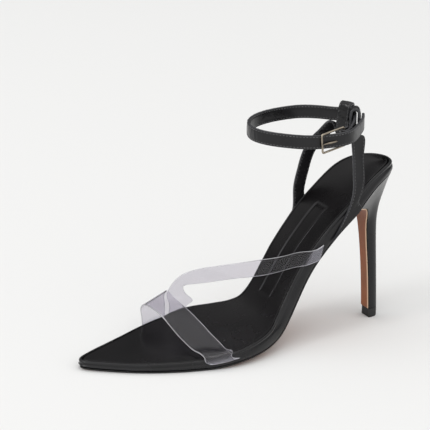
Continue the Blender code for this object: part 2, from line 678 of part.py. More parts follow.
def ankle_strap(collection, cutters):
    """Ankle strap, with a slot for the prong in its fold and a hole in its free end."""
    middle = through(ankle_path()[:, None], ANKLE_STEPS)[:, 0]
    hinge, reach, forward, away, up = buckle_axes()
    near = np.exp(-(np.linalg.norm(middle - hinge, axis=1) / (2 * FOLD_LENGTH)) ** 2)[:, None]
    rise = (up * near + np.array([0, 0, 1]) * (1 - near)) * ANKLE_WIDTH / 2
    share = np.linspace(-1, 1, BAND_COLUMNS + 1)[None, :, None]
    grid = middle[:, None] + rise[:, None] * share
    piece = sheet("ankle_strap", grid, STRAP_THICKNESS, collection, BLACK_LEATHER)
    for name, start, finish, low, high in SLOT_ROWS:
        size = Vector(((finish - start) * reach, (high - low) * WRAP, PRONG_SLOT))
        middle = hinge + forward * reach * (start + finish) / 2 + away * WRAP * (low + high) / 2
        axes = Matrix([forward, away, up]).transposed().to_4x4()
        block = bmesh.new()
        bmesh.ops.create_cube(block, size=1, matrix=Matrix.Translation(middle) @ axes @ Matrix.Diagonal((*size, 1)))
        bmesh.ops.recalc_face_normals(block, faces=block.faces)
        mesh = bpy.data.meshes.new("slot_" + name)
        block.to_mesh(mesh)
        block.free()
        cutter = bpy.data.objects.new("slot_" + name, mesh)
        cutter.hide_render = True
        cutter.display_type = "WIRE"
        cutters.objects.link(cutter)
        cut = piece.modifiers.new("Slot for the " + name, "BOOLEAN")
        cut.object = cutter
        cut.operation = "DIFFERENCE"
        cut.solver = "EXACT"
    return piece


# Base of a side strap on the wall
# Columns: height as a share of the wall height, rear and front place as shares of the sole length from the seat
OUTER_BASE_ROWS = [(0.25, 0.154, 0.245), (0.50, 0.149, 0.217), (0.75, 0.1465, 0.195)]
INNER_BASE_ROWS = [(0.25, 0.190, 0.277), (0.50, 0.190, 0.2585), (0.77, 0.192, 0.238)]
# Rise of a side strap from the middle of its base to the ankle strap
# Columns: shares of the way along X, Y and Z, half width and lift of the front edge as shares of the strap width
OUTER_RISE_ROWS = [
    (0.310, -0.03, 0.205, 0.42, -0.07), (0.460, 0.07, 0.409, 0.49, 0.02), (0.640, 0.36, 0.669, 0.50, 0.06),
    (0.830, 0.69, 0.836, 0.49, 0.09),
]
INNER_RISE_ROWS = [
    (-0.010, 0.00, 0.176, 0.49, -0.09), (0.080, 0.06, 0.378, 0.50, 0.05), (0.190, 0.17, 0.564, 0.50, 0.09),
    (0.370, 0.32, 0.704, 0.48, 0.19), (0.600, 0.52, 0.813, 0.45, 0.23), (0.830, 0.69, 0.883, 0.44, 0.23),
]


def side_strap(name, collection, side, loop_at, base_rows, rise_rows):
    """Side strap: a flared base on the wall, the rise to the ankle strap, and the folded loop round it."""
    out_wall = GAP + STRAP_THICKNESS / 2
    rows = []
    for share, rear, front in base_rows:
        ends = [(place * SOLE_LENGTH - SEAT_SETBACK, share * WALL_HEIGHT) for place in (rear, front)]
        rows.append(wall_row(side, out_wall, *ends))
    place, out, _ = ankle_frame(loop_at)
    foot = (rows[-1][0] + rows[-1][-1]) / 2
    for *shares, half, lift in rise_rows:
        middle = foot + (place - foot) * shares
        width = np.array([half, 0, lift]) * SIDE_WIDTH
        rows.append(across(middle - width, middle + width))
    run = ankle_place(loop_at + 1) - ankle_place(loop_at - 1)
    run *= -side / np.linalg.norm(run)
    lean = math.radians(LOOP_LEAN)
    upwards = np.array([0, 0, 1])
    along = upwards * math.cos(lean) - run * math.sin(lean)
    width = (run * math.cos(lean) + upwards * math.sin(lean)) * SIDE_WIDTH / 2
    # The ankle strap crosses a leaning loop at a slant, which takes some of the loop's height
    high = ANKLE_WIDTH / 2 + SIDE_WIDTH / 2 * math.tan(lean)
    top = high + GAP + STRAP_THICKNESS / 2 + LOOP_SLACK
    inner = LAYER + LOOP_SLACK
    outer = LAYER + LOOP_SLACK / 2
    # Columns: outwards, and along the strap from the middle of the ankle strap
    fold = [
        (-0.7 * LAYER, -top - 0.67 * FOLD_LENGTH), (-inner, -top + 0.18 * FOLD_LENGTH), (-inner, 0),
        (-inner, high - 0.4 * LAYER), (-0.55 * inner, top), (0.55 * outer, top), (outer, high - 0.4 * LAYER),
        (outer, 0), (outer, -high), (0.45 * LAYER, -top - 0.33 * FOLD_LENGTH), (0.36 * LAYER, -top - FOLD_LENGTH),
    ]
    for away, way in fold:
        point = place + out * away + along * way
        rows.append(across(point - width, point + width))
    return sheet(name, through(np.array(rows), SIDE_STEPS), STRAP_THICKNESS, collection, BLACK_LEATHER)


def outer_side_strap(collection):
    return side_strap("side_strap_outer", collection, 1, OUTER_LOOP_AT, OUTER_BASE_ROWS, OUTER_RISE_ROWS)


def inner_side_strap(collection):
    return side_strap("side_strap_inner", collection, -1, INNER_LOOP_AT, INNER_BASE_ROWS, INNER_RISE_ROWS)


def tube(name, points, radius, closed, collection, look):
    """Wire along points, as a curve with a round bevel."""
    curve = bpy.data.curves.new(name, "CURVE")
    curve.dimensions = "3D"
    curve.bevel_depth = radius
    curve.bevel_resolution = 2
    curve.use_fill_caps = True
    spline = curve.splines.new("POLY")
    spline.points.add(len(points) - 1)
    spline.points.foreach_set("co", np.column_stack([points, np.ones(len(points))]).ravel())
    spline.use_cyclic_u = closed
    return link(name, curve, collection, *look)


def buckle_frame(collection):
    """Rectangular wire frame with rounded corners."""
    hinge, reach, forward, _, up = buckle_axes()
    high = ANKLE_WIDTH / 2 + GAP + WIRE / 2 + FRAME_SPARE
    corner = FRAME_CORNER
    points = []
    for middle, along, first, second in ((hinge + forward * reach, forward, -1, 1), (hinge, -forward, 1, -1)):
        for end in (first, second):
            centre = middle + up * (high - corner) * end - along * corner
            for step in range(4):
                angle = math.radians(30 * step)
                if end == second:
                    angle = math.pi / 2 - angle
                points.append(centre + corner * (along * math.sin(angle) + up * end * math.cos(angle)))
    return tube("buckle_frame", np.array(points), WIRE / 2, True, collection, METAL)


# Prong from the hinge bar to the tip bar
# Columns: along the buckle as a share of its reach, outwards as a share of the wrap
PRONG_ROWS = [(0.200, 0.65), (0.310, 0.70), (0.400, 1.03), (0.510, 1.57), (0.665, 1.41)]


def buckle_prong(collection):
    """Prong that turns round the hinge bar, comes up through the strap's hole and rests on the tip bar."""
    hinge, reach, forward, away, _ = buckle_axes()
    over = WIRE / 2 + PRONG / 2 + GAP / 2
    points = []
    for degrees in range(-120, 61, 30):
        angle = math.radians(degrees)
        points.append(hinge + (over + GAP / 6) * (away * math.sin(angle) - forward * math.cos(angle)))
    for along, out in PRONG_ROWS:
        points.append(hinge + forward * along * reach + away * out * WRAP)
    for past in (-PRONG, 0.8 * PRONG):
        points.append(hinge + forward * (reach + past) + away * over)
    return tube("buckle_prong", np.array(points), PRONG / 2, False, collection, METAL)


def main():
    for thing in list(bpy.data.objects):
        bpy.data.objects.remove(thing, do_unlink=True)
    sandal = bpy.data.collections.new("heeled_sandal")
    cutters = bpy.data.collections.new("cutters")
    bpy.context.scene.collection.children.link(sandal)
    bpy.context.scene.collection.children.link(cutters)
    for make in (outsole, footbed, insole, heel, heel_breast, heel_tip, toe_band, arch_band):
        make(sandal)
    ankle_strap(sandal, cutters)
    outer_side_strap(sandal)
    inner_side_strap(sandal)
    buckle_frame(sandal)
    buckle_prong(sandal)


main()
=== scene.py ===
import math

import bmesh
import bpy
import numpy as np
from mathutils import Matrix, Vector


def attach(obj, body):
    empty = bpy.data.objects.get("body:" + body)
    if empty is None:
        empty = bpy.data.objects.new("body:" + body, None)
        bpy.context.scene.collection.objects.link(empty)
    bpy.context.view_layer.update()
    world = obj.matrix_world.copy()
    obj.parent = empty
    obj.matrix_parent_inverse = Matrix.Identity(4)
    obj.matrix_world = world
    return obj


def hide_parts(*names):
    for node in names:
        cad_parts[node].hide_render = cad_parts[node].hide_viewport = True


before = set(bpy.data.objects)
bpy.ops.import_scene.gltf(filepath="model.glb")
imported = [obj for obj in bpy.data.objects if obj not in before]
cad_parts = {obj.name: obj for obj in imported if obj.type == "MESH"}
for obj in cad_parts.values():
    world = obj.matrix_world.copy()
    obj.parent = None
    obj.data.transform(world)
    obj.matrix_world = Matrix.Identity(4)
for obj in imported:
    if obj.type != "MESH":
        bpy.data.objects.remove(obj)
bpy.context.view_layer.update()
mm = 0.001
print("frame: loaded")

# Stage: camera as in the photograph, pale floor, soft lamps
stage = {
    "azimuth": 63.86,       # degrees from the toe's direction towards the outer side
    "elevation": 18.10,
    "roll": 0.329,
    "target": (118.24, 0.0, 87.33),   # mm
    "distance": 900.0,      # mm
    "lens": 120.29,         # mm, on a sensor 36 mm wide
    "floorColour": (0.80, 0.80, 0.795),
    "floorRoughness": 0.9,
    "floorSpecular": 0.1,
    "floorReach": 12.0,     # m from the origin to its edges
    "skyTop": (1.18, 1.18, 1.175),    # studio light straight above
    "skySide": (0.13, 0.13, 0.133),   # and low behind the shoe
    "skyLean": 0.6,         # how much brighter the camera's side is
    "skyRamp": (-0.2, 0.8),           # from the side's light to the top's
    "lampTarget": (90, 0, 50),        # mm
}
# Columns: name, place in mm, width and height in mm, watts, colour
lamps = [
    ("ceilingLamp", (300, 900, 8000), (3200, 3200), 62.0, (1.0, 1.0, 0.995)),
    ("toeLamp", (2600, 300, 1900), (700, 900), 16.0, (1.0, 0.99, 0.98)),
]


# Input of a node: a socket is linked, anything else is set
def put(tree, socket, value):
    if isinstance(value, bpy.types.NodeSocket):
        tree.links.new(value, socket)
    else:
        socket.default_value = value


def feed(tree, node, **inputs):
    for key, value in inputs.items():
        put(tree, node.inputs[key.replace("_", " ")], value)
    return node


def addNode(tree, kind, options=None, **inputs):
    made = tree.nodes.new("ShaderNode" + kind)
    for key, value in (options or {}).items():
        setattr(made, key, value)
    return feed(tree, made, **inputs)


def joined(tree, operation, first, second):
    made = addNode(tree, "Math", {"operation": operation})
    put(tree, made.inputs[0], first)
    put(tree, made.inputs[1], second)
    return made.outputs[0]


def noisy(tree, scale, detail, **inputs):
    place = addNode(tree, "TexCoord").outputs["Object"]
    return addNode(tree, "TexNoise", None, Vector=place, Scale=scale, Detail=detail, **inputs).outputs["Fac"]


# Bump from a height, with its distance in mm
def bumped(tree, height, strength, distance, **inputs):
    made = addNode(tree, "Bump", None, Height=height, Strength=strength, Distance=distance * mm, **inputs)
    return made.outputs["Normal"]


def newFinish(name):
    material = bpy.data.materials.new(name)
    material.use_nodes = True
    return material, material.node_tree, material.node_tree.nodes["Principled BSDF"]


def scaled(tree, source, low, high, fromLow=0.0, fromHigh=1.0):
    return addNode(tree, "MapRange", None, Value=source, From_Min=fromLow, From_Max=fromHigh,
                   To_Min=low, To_Max=high).outputs["Result"]


def mixed(tree, factor, first, second):
    mix = addNode(tree, "Mix", {"data_type": "RGBA"})
    for place, value in ((0, factor), (6, first), (7, second)):
        put(tree, mix.inputs[place], (*value, 1) if isinstance(value, tuple) else value)
    return mix.outputs[2]


def painted(tree, name):
    return addNode(tree, "Attribute", {"attribute_name": name}).outputs["Fac"]


def placed(name, data):
    made = bpy.data.objects.new(name, data)
    bpy.context.scene.collection.objects.link(made)
    return made


def facing(direction):
    return direction.to_track_quat("Z", "Y").to_matrix().to_4x4()


# Camera on a sphere round its target, rolled about its own axis
def placeCamera():
    az, el, roll = (math.radians(stage[k]) for k in ("azimuth", "elevation", "roll"))
    back = Vector((math.cos(az) * math.cos(el), math.sin(az) * math.cos(el), math.sin(el)))
    data = bpy.data.cameras.new("camera")
    data.lens = stage["lens"]
    data.sensor_width = 36
    data.clip_start = 0.01
    camera = placed("camera", data)
    place = Matrix.Translation((Vector(stage["target"]) + back * stage["distance"]) * mm)
    camera.matrix_world = place @ facing(back) @ Matrix.Rotation(roll, 4, "Z")
    bpy.context.scene.camera = camera


# Flat floor far wider than the view, world light that is brightest above the camera's side, and area lamps
def buildStage():
    mesh = bpy.data.meshes.new("floor")
    wide = stage["floorReach"]
    corners = [(-wide, -wide, 0), (wide, -wide, 0), (wide, wide, 0), (-wide, wide, 0)]
    mesh.from_pydata(corners, [], [(0, 1, 2, 3)])
    floor = placed("floor", mesh)
    paint, tree, shader = newFinish("floorPaint")
    feed(tree, shader, Base_Color=(*stage["floorColour"], 1), Roughness=stage["floorRoughness"],
         Specular_IOR_Level=stage["floorSpecular"])
    mesh.materials.append(paint)
    world = bpy.data.worlds.new("studio")
    world.use_nodes = True
    tree = world.node_tree
    az = math.radians(stage["azimuth"])
    lean = addNode(tree, "VectorMath", {"operation": "DOT_PRODUCT"})
    put(tree, lean.inputs[0], addNode(tree, "TexCoord").outputs["Generated"])
    put(tree, lean.inputs[1], (stage["skyLean"] * math.cos(az), stage["skyLean"] * math.sin(az), 1))
    low, high = stage["skyRamp"]
    rise = addNode(tree, "MapRange", {"interpolation_type": "SMOOTHSTEP"}, Value=lean.outputs["Value"],
                   From_Min=low, From_Max=high)
    sky = mixed(tree, rise.outputs["Result"], stage["skySide"], stage["skyTop"])
    feed(tree, tree.nodes["Background"], Color=sky)
    bpy.context.scene.world = world
    bpy.context.scene.view_settings.view_transform = "Standard"
    target = Vector(stage["lampTarget"]) * mm
    for name, place, size, watts, colour in lamps:
        data = bpy.data.lights.new(name, "AREA")
        data.shape = "RECTANGLE"
        data.size, data.size_y = size[0] * mm, size[1] * mm
        data.energy = watts
        data.color = colour
        spot = Vector(place) * mm
        placed(name, data).matrix_world = Matrix.Translation(spot) @ facing(spot - target)


placeCamera()
buildStage()
print("stage: camera, floor and", len(lamps), "lamps")


# Cubic spline through values at knots: second slopes from a tridiagonal system, free at both ends or with a
# set last slope
def cubicAt(knots, values, at, lastSlope=None):
    knots = np.asarray(knots, float)
    values = np.asarray(values, float).reshape(len(knots), -1)
    count = len(knots)
    step = np.diff(knots)
    rise = np.diff(values, axis=0) / step[:, None]
    matrix = np.eye(count)
    inner = np.arange(1, count - 1)
    matrix[inner, inner - 1] = step[:-1]
    matrix[inner, inner] = 2 * (step[:-1] + step[1:])
    matrix[inner, inner + 1] = step[1:]
    right = np.zeros_like(values)
    right[1:-1] = 6 * np.diff(rise, axis=0)
    if lastSlope is not None:
        matrix[-1, -2:] = step[-1], 2 * step[-1]
        right[-1] = 6 * (lastSlope - rise[-1])
    curve = np.linalg.solve(matrix, right)
    at = np.asarray(at, float)
    i = np.clip(np.searchsorted(knots, at) - 1, 0, count - 2)
    low, high, wide = (at - knots[i])[:, None], (knots[i + 1] - at)[:, None], step[i][:, None]
    out = (curve[i] * high ** 3 + curve[i + 1] * low ** 3) / (6 * wide)
    out += (values[i] / wide - curve[i] * wide / 6) * high
    return out + (values[i + 1] / wide - curve[i + 1] * wide / 6) * low


# Distance run along a row of points, and across each row of a grid
def reachOf(points):
    return np.concatenate([[0], np.cumsum(np.linalg.norm(np.diff(points, axis=0), axis=1))])


def reachAcross(grid):
    steps = np.linalg.norm(np.diff(grid, axis=1), axis=-1)
    return np.concatenate([np.zeros((len(grid), 1)), np.cumsum(steps, axis=1)], axis=1)


# Points at given distances along a row of points
def pointsAt(at, reach, points):
    return np.stack([np.interp(at, reach, points[:, k]) for k in range(3)], axis=-1)


# Splines through rows of points, all columns side by side, spaced by the mean distance between rows
def throughRows(rows, count):
    rows = np.asarray(rows, float)
    middle = rows.reshape(len(rows), -1, 3).mean(axis=1)
    reach = reachOf(middle)
    return cubicAt(reach, rows.reshape(len(rows), -1), np.linspace(0, reach[-1], count)).reshape(count, -1, 3)


def unit(vectors):
    return vectors / np.maximum(np.linalg.norm(vectors, axis=-1, keepdims=True), 1e-12)


def normalOf(grid):
    return unit(np.cross(np.gradient(grid, axis=0), np.gradient(grid, axis=1)))


# Shares from 0 to 1 that lie closer together at both ends
def easedShares(count):
    return (1 - np.cos(np.linspace(0, np.pi, count))) / 2


# Sum of sine waves with seeded directions and phases: a soft, repeatable unevenness between about -1 and 1
def unevenness(u, v, wavelength, seed):
    dice = np.random.default_rng(seed)
    angle = dice.uniform(0, 2 * np.pi, 14)
    size = dice.uniform(0.7, 1.5, 14) * 2 * np.pi / wavelength
    phase = dice.uniform(0, 2 * np.pi, 14)
    waves = np.sin(u[..., None] * size * np.cos(angle) + v[..., None] * size * np.sin(angle) + phase)
    return waves.sum(axis=-1) / 5


# The last, in mm. The solids use the same tables
last = {
    "soleLength": 219.8,
    "seatSetback": 8.8,     # back of the seat behind the origin
    "seatHeight": 102.3,
    "ballStart": 140.0,
    "ballEnd": 172.0,
    "toeSpring": 0.5,
    "ballWidth": 80.5,
    "wallHeight": 9.6,
    "seatCup": 2.6,
    "gap": 0.3,
}
# Columns: share of the way from the seat to the ball, share of the seat height
archRows = np.array([
    (0, 1), (0.078, 0.984), (0.156, 0.926), (0.234, 0.814), (0.313, 0.706), (0.392, 0.575), (0.461, 0.438),
    (0.527, 0.268), (0.591, 0.136), (0.656, 0.072), (0.722, 0.046), (0.817, 0.027), (0.916, 0.01), (1, 0),
])
# Columns: share of the length, outer and inner half width, wall height, cup
outlineRows = np.array([
    (0, 0, 0, 0.9, 1), (0.006, 0.085, 0.088, 0.9, 1), (0.024, 0.158, 0.166, 0.9, 1),
    (0.053, 0.222, 0.23, 0.91, 1), (0.096, 0.275, 0.282, 0.94, 1), (0.159, 0.299, 0.304, 1.06, 0.92),
    (0.231, 0.287, 0.301, 1.06, 0.7), (0.303, 0.27, 0.29, 1.04, 0.55), (0.375, 0.296, 0.288, 1.12, 0.5),
    (0.447, 0.388, 0.342, 1.12, 0.46), (0.519, 0.464, 0.434, 1.05, 0.4), (0.591, 0.494, 0.515, 0.92, 0.32),
    (0.663, 0.468, 0.5, 0.79, 0.26), (0.735, 0.422, 0.434, 0.71, 0.22), (0.806, 0.355, 0.338, 0.67, 0.18),
    (0.87, 0.273, 0.251, 0.63, 0.15), (0.924, 0.184, 0.172, 0.63, 0.12), (0.968, 0.103, 0.102, 0.63, 0.1),
    (0.993, 0.047, 0.049, 0.63, 0.08), (1, 0, 0, 0.63, 0.08),
])
lastRow = len(outlineRows) - 1


# Underside of the sole in the middle plane: height from the arch table, flat at the ball, a little spring at
# the toe
def lastPath():
    x = np.linspace(-last["seatSetback"], last["soleLength"] - last["seatSetback"], 1401)
    share = np.clip((x + last["seatSetback"]) / (last["ballStart"] + last["seatSetback"]), 0, 1)
    z = cubicAt(archRows[:, 0], archRows[:, 1], share, lastSlope=0)[:, 0] * last["seatHeight"]
    z = np.where(x > last["ballStart"], 0, z)
    toe = np.clip((x - last["ballEnd"]) / (x[-1] - last["ballEnd"]), 0, 1)
    z = z + last["toeSpring"] * toe ** 2
    along = np.concatenate([[0], np.cumsum(np.hypot(np.diff(x), np.diff(z)))])
    return along, x, z, np.arctan2(np.gradient(z, along), np.gradient(x, along))


pathS, pathX, pathZ, pathSlope = lastPath()


# Flat pattern laid on the last: the path's point at s, moved n along its normal, with y kept
def bendToLast(s, y, n):
    s, y, n = np.broadcast_arrays(s, y, n)
    slope = np.interp(s, pathS, pathSlope)
    x = np.interp(s, pathS, pathX) - np.sin(slope) * n
    z = np.interp(s, pathS, pathZ) + np.cos(slope) * n
    return np.stack([x, y, z], axis=-1)


# Splines through the outline table, mirrored past both ends so that they are round there
def outlineAt(at):
    x = outlineRows[:, 0] * last["soleLength"] - last["seatSetback"]
    sizes = np.array([last["ballWidth"], last["ballWidth"], last["wallHeight"], last["seatCup"]])
    table = np.column_stack([np.interp(x, pathX, pathS), outlineRows[:, 1:] * sizes])
    before = table[2:0:-1] * [1, -1, -1, 1, 1]
    after = table[-2:-4:-1] * [1, -1, -1, 1, 1]
    return np.maximum(cubicAt(np.arange(-2, len(table) + 2), np.vstack([before, table, after]), at), 0)


denseOutline = outlineAt(np.linspace(0, lastRow, 900))


def stationAt(x):
    return np.interp(x, pathX, pathS)


def halfWidthAt(s, side):
    return np.where(np.asarray(side) > 0, np.interp(s, denseOutline[:, 0], denseOutline[:, 1]),
                    np.interp(s, denseOutline[:, 0], denseOutline[:, 2]))


def wallAt(s):
    return np.interp(s, denseOutline[:, 0], denseOutline[:, 3])


# Point beside the wall: half width at the station plus the distance out, bent onto the last at height n
def onWall(x, side, out, n):
    s = stationAt(x)
    return bendToLast(s, side * (halfWidthAt(s, side) + out), n)


# Half width drawn in by a margin, less where the sole is narrow
def drawnIn(half, margin, safe):
    return half - margin * half / (half + safe)


# Surface round the sole: each loop point has a margin from the outline, a height, a share of the wall,
# a place across from -1 to 1 and a share of the cup's hollow
def soleSurface(at, loop):
    s, outer, inner, wall, cup = outlineAt(at).T[:, :, None]
    margin, height, share, across, hollow = np.asarray(loop).T[:, None, :]
    middle = pathS[-1] / 2
    end = (s - middle) / middle
    s = s - margin * np.sign(end) * np.abs(end) ** 5
    safe = np.abs(margin) + 1e-6
    outer, inner = drawnIn(outer, margin, safe), drawnIn(inner, margin, safe)
    y = (outer + inner) / 2 * across + (outer - inner) / 2
    n = wall * share + height - hollow * cup * (1 - across ** 2)
    return s, y, n


# Loop for soleSurface: across the bottom, up the outer rings, back across the top, down the inner rings
def soleLoop(rings, bottomCount, topCount, hollowBottom, hollowTop, steps=5):
    rings = np.asarray(rings, float)
    fine = cubicAt(np.arange(len(rings)), rings, np.linspace(0, len(rings) - 1, (len(rings) - 1) * steps + 1))
    bottom = np.sin(np.linspace(-1, 1, bottomCount) * np.pi / 2)
    top = np.sin(np.linspace(1, -1, topCount) * np.pi / 2)

    def rows(ring, across, hollow):
        return np.column_stack([np.tile(ring, (len(across), 1)), across, np.full(len(across), hollow)])

    sides = fine[1:-1]
    up = np.column_stack([sides, np.ones(len(sides)), np.zeros(len(sides))])
    down = up[::-1] * [1, 1, 1, -1, 1]
    return np.vstack([rows(fine[0], bottom, hollowBottom), up, rows(fine[-1], top, hollowTop), down])


# Doubles merged, faces without area dissolved where asked, faces turned outwards and shaded smooth
def closeUp(mesh, double, thin=None):
    work = bmesh.new()
    work.from_mesh(mesh)
    bmesh.ops.remove_doubles(work, verts=work.verts, dist=double)
    if thin:
        bmesh.ops.dissolve_degenerate(work, edges=work.edges, dist=thin)
    bmesh.ops.recalc_face_normals(work, faces=work.faces)
    work.to_mesh(mesh)
    work.free()
    mesh.shade_smooth()


# Mesh over a grid of points whose rows are closed loops: quads between neighbours, ends closed where asked.
# u and v are the distances along and around, in metres
def meshFromLoops(name, loops, closeFirst=True, closeLast=True, paint=None, sharp=60):
    count, around = loops.shape[:2]
    index = np.arange(count * around).reshape(count, around)
    turned = np.roll(index, -1, axis=1)
    faces = np.stack([index[:-1], index[1:], turned[1:], turned[:-1]], axis=-1).reshape(-1, 4).tolist()
    half = around // 2
    for close, row in ((closeFirst, index[0]), (closeLast, index[-1])):
        if close:
            near, far = row[:half], row[:-half - 1:-1]
            faces += np.stack([near[:-1], near[1:], far[1:], far[:-1]], axis=-1).tolist()
    mesh = bpy.data.meshes.new(name)
    mesh.from_pydata((loops.reshape(-1, 3) * mm).tolist(), [], faces)
    along = reachOf(loops.mean(axis=1))
    stepRound = np.linalg.norm(np.roll(loops, -1, axis=1) - loops, axis=-1).mean(axis=0)
    spread = np.concatenate([[0], np.cumsum(stepRound)[:-1]])
    uv = np.stack(np.broadcast_arrays(along[:, None], spread[None]), axis=-1).reshape(-1, 2) * mm
    corner = np.empty(len(mesh.loops), np.int32)
    mesh.loops.foreach_get("vertex_index", corner)
    mesh.uv_layers.new(name="pattern").data.foreach_set("uv", uv[corner].ravel())
    for key, values in (paint or {}).items():
        layer = mesh.attributes.new(key, "FLOAT", "POINT")
        layer.data.foreach_set("value", np.broadcast_to(values, (count, around)).astype(np.float32).ravel())
    closeUp(mesh, 0.004 * mm, 0.002 * mm)
    mesh.set_sharp_from_angle(angle=math.radians(sharp))
    return mesh


def dress(mesh, material, nodes=()):
    mesh.materials.append(material)
    piece = placed(mesh.name, mesh)
    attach(piece, "root")
    if nodes:
        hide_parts(*nodes)


# Closed band round a middle surface: the surface plus and minus its normal times half the thickness,
# which falls to nothing along a quarter circle at the edges and at the ends
def bandLoops(grid, thickness, edgeRound, endRound, topRelief=0, bottomRelief=0):
    normal = normalOf(grid)
    across = reachAcross(grid)
    fromEdge = np.minimum(across, across[:, -1:] - across)
    along = reachOf(grid[:, grid.shape[1] // 2])[:, None]
    fromEnd = np.minimum(along, along[-1] - along)

    def fall(distance, radius):
        return np.sqrt(np.clip(1 - (1 - np.clip(distance / radius, 0, 1)) ** 2, 0, 1))

    body = fall(fromEdge, edgeRound) * fall(fromEnd, endRound)
    top = grid + normal * (thickness / 2 * body + topRelief * body)[..., None]
    bottom = grid - normal * (thickness / 2 * body + bottomRelief * body)[..., None]
    loops = np.concatenate([top, bottom[:, ::-1]], axis=1)
    return loops, normal, across, along, fromEdge


# Painted values for both faces of such a band, and paint that makes its edges paler
def bothFaces(values):
    return np.concatenate([values, values[:, ::-1]], axis=1)


def paleEdges(fromEdge, where=1):
    return {"edgeToneAndHighlight": bothFaces(np.exp(-(fromEdge / 0.5) ** 2) * where)}


# Small cushions sewn in a row: centres at an even pitch along a curve, each an ellipsoid squeezed to length,
# width and height along the curve, across it and out of the surface
def threadRow(curve, normal, pitch, length, width, height):
    reach = reachOf(curve)
    at = np.arange(pitch, reach[-1] - pitch / 2, pitch)
    centre = pointsAt(at, reach, curve)
    out = unit(pointsAt(at, reach, normal))
    ahead = unit(pointsAt(at + 0.2, reach, curve) - centre)
    side = np.cross(out, ahead)
    sides, levels = 6, 5
    turn, rise = np.meshgrid(np.linspace(0, 2 * np.pi, sides, endpoint=False), np.linspace(-1, 1, levels),
                             indexing="ij")
    ball = np.stack([np.sin(rise * np.pi / 2) * length / 2, np.cos(rise * np.pi / 2) * np.cos(turn) * width / 2,
                     np.cos(rise * np.pi / 2) * np.sin(turn) * height / 2], axis=-1).reshape(-1, 3)
    axes = np.stack([ahead, side, out], axis=1)
    points = centre[:, None] + ball @ axes
    index = np.arange(sides * levels).reshape(sides, levels)
    turned = np.roll(index, -1, axis=0)
    quads = np.stack([index[:, :-1], turned[:, :-1], turned[:, 1:], index[:, 1:]], axis=-1).reshape(-1, 4)
    faces = quads[None] + (np.arange(len(at)) * sides * levels)[:, None, None]
    return points.reshape(-1, 3), faces.reshape(-1, 4)


# One mesh from several rows of stitches
def threadMesh(name, rows):
    points, faces, first = [], [], 0
    for rowPoints, rowFaces in rows:
        points.append(rowPoints)
        faces.append(rowFaces + first)
        first += len(rowPoints)
    mesh = bpy.data.meshes.new(name)
    mesh.from_pydata((np.vstack(points) * mm).tolist(), [], np.vstack(faces).tolist())
    closeUp(mesh, 0.001 * mm)
    return mesh


# Wire along points: circles square to the path, turned with it so that they don't twist
def wireLoops(points, radius, closed, sides=14):
    ahead = np.roll(points, -1, axis=0) - np.roll(points, 1, axis=0) if closed else np.gradient(points, axis=0)
    ahead = unit(ahead)
    flat = unit(np.cross(ahead, np.linalg.svd(points - points.mean(axis=0))[2][2]))
    out = np.cross(flat, ahead)
    turn = np.linspace(0, 2 * np.pi, sides, endpoint=False)[None, :, None]
    radius = np.broadcast_to(radius, (len(points),))[:, None, None]
    loops = points[:, None] + radius * (flat[:, None] * np.cos(turn) + out[:, None] * np.sin(turn))
    return np.concatenate([loops, loops[:1]]) if closed else loops


print("tools: ready")


# Colour and shine that drift with a cloud texture between a look's two ends
def drifting(tree, look, cloud):
    low, high = look["roughness"]
    return (mixed(tree, scaled(tree, cloud, 0, 1, 0.3, 0.7), look["dark"], look["light"]),
            scaled(tree, cloud, low, high, 0.3, 0.7))


# Leather: soft clouds of colour and shine, fine pebbled grain, and long faint creases
def leatherFinish(name, look):
    material, tree, shader = newFinish(name)
    grain = look["grainScale"]
    cloud = noisy(tree, look["cloudScale"], 4.0, Roughness=0.55)
    pebble = addNode(tree, "TexVoronoi", {"feature": "SMOOTH_F1"}, Scale=grain, Smoothness=0.6,
                     Vector=addNode(tree, "TexCoord").outputs["Object"])
    crease = noisy(tree, look["creaseScale"], 5.0, Distortion=0.8)
    colour, shine = drifting(tree, look, cloud)
    # Where the mask is painted, the colour is mixed towards the look's edge colour: real dark ink on the
    # outsole's edges, paler edges on the straps and the facing, and painted highlights on the rim's roll, the
    # heel's back and beside the insole's panel line
    colour = mixed(tree, scaled(tree, painted(tree, "edgeToneAndHighlight"), 0, look["edgeToneAndHighlightShare"]), colour, look["edge"])
    both = joined(tree, "ADD", pebble.outputs["Distance"], noisy(tree, grain * 1.7, 3.0))
    broad = bumped(tree, crease, look["creaseStrength"], 0.4)
    fine = bumped(tree, both, look["grainStrength"], 0.08, Normal=broad)
    feed(tree, shader, Base_Color=colour, Roughness=shine, Normal=fine, Specular_IOR_Level=look["specular"],
         Coat_Weight=look["coat"], Coat_Roughness=coatRoughness)
    return material


# Moulded clear plastic: glass with a faint lilac tint, clouded along its cut edges and where it is glued down.
# Shadow rays pass it as a tinted film
def clearFinish(name, look):
    material, tree, shader = newFinish(name)
    cut, haze = painted(tree, "cutEdge"), painted(tree, "glued")
    cloudy = joined(tree, "MAXIMUM", scaled(tree, cut, look["haze"], look["edgeCloud"]),
                    scaled(tree, haze, look["haze"], look["gluedCloud"]))
    colour = mixed(tree, cut, mixed(tree, haze, look["tint"], look["gluedTint"]), look["edgeTint"])
    feed(tree, shader, Base_Color=colour, IOR=look["ior"], Transmission_Weight=scaled(tree, cloudy, 1, 0),
         Normal=bumped(tree, noisy(tree, look["waveScale"], 2.0), look["waveStrength"], 0.5),
         Roughness=scaled(tree, cloudy, look["roughness"], look["cloudRoughness"]))
    material.use_raytrace_refraction = True
    through = addNode(tree, "BsdfTransparent", None, Color=(*look["shadow"], 1))
    mix = addNode(tree, "MixShader", None, Fac=addNode(tree, "LightPath").outputs["Is Shadow Ray"])
    put(tree, mix.inputs[1], shader.outputs[0])
    put(tree, mix.inputs[2], through.outputs[0])
    feed(tree, tree.nodes["Material Output"], Surface=mix.outputs[0])
    return material


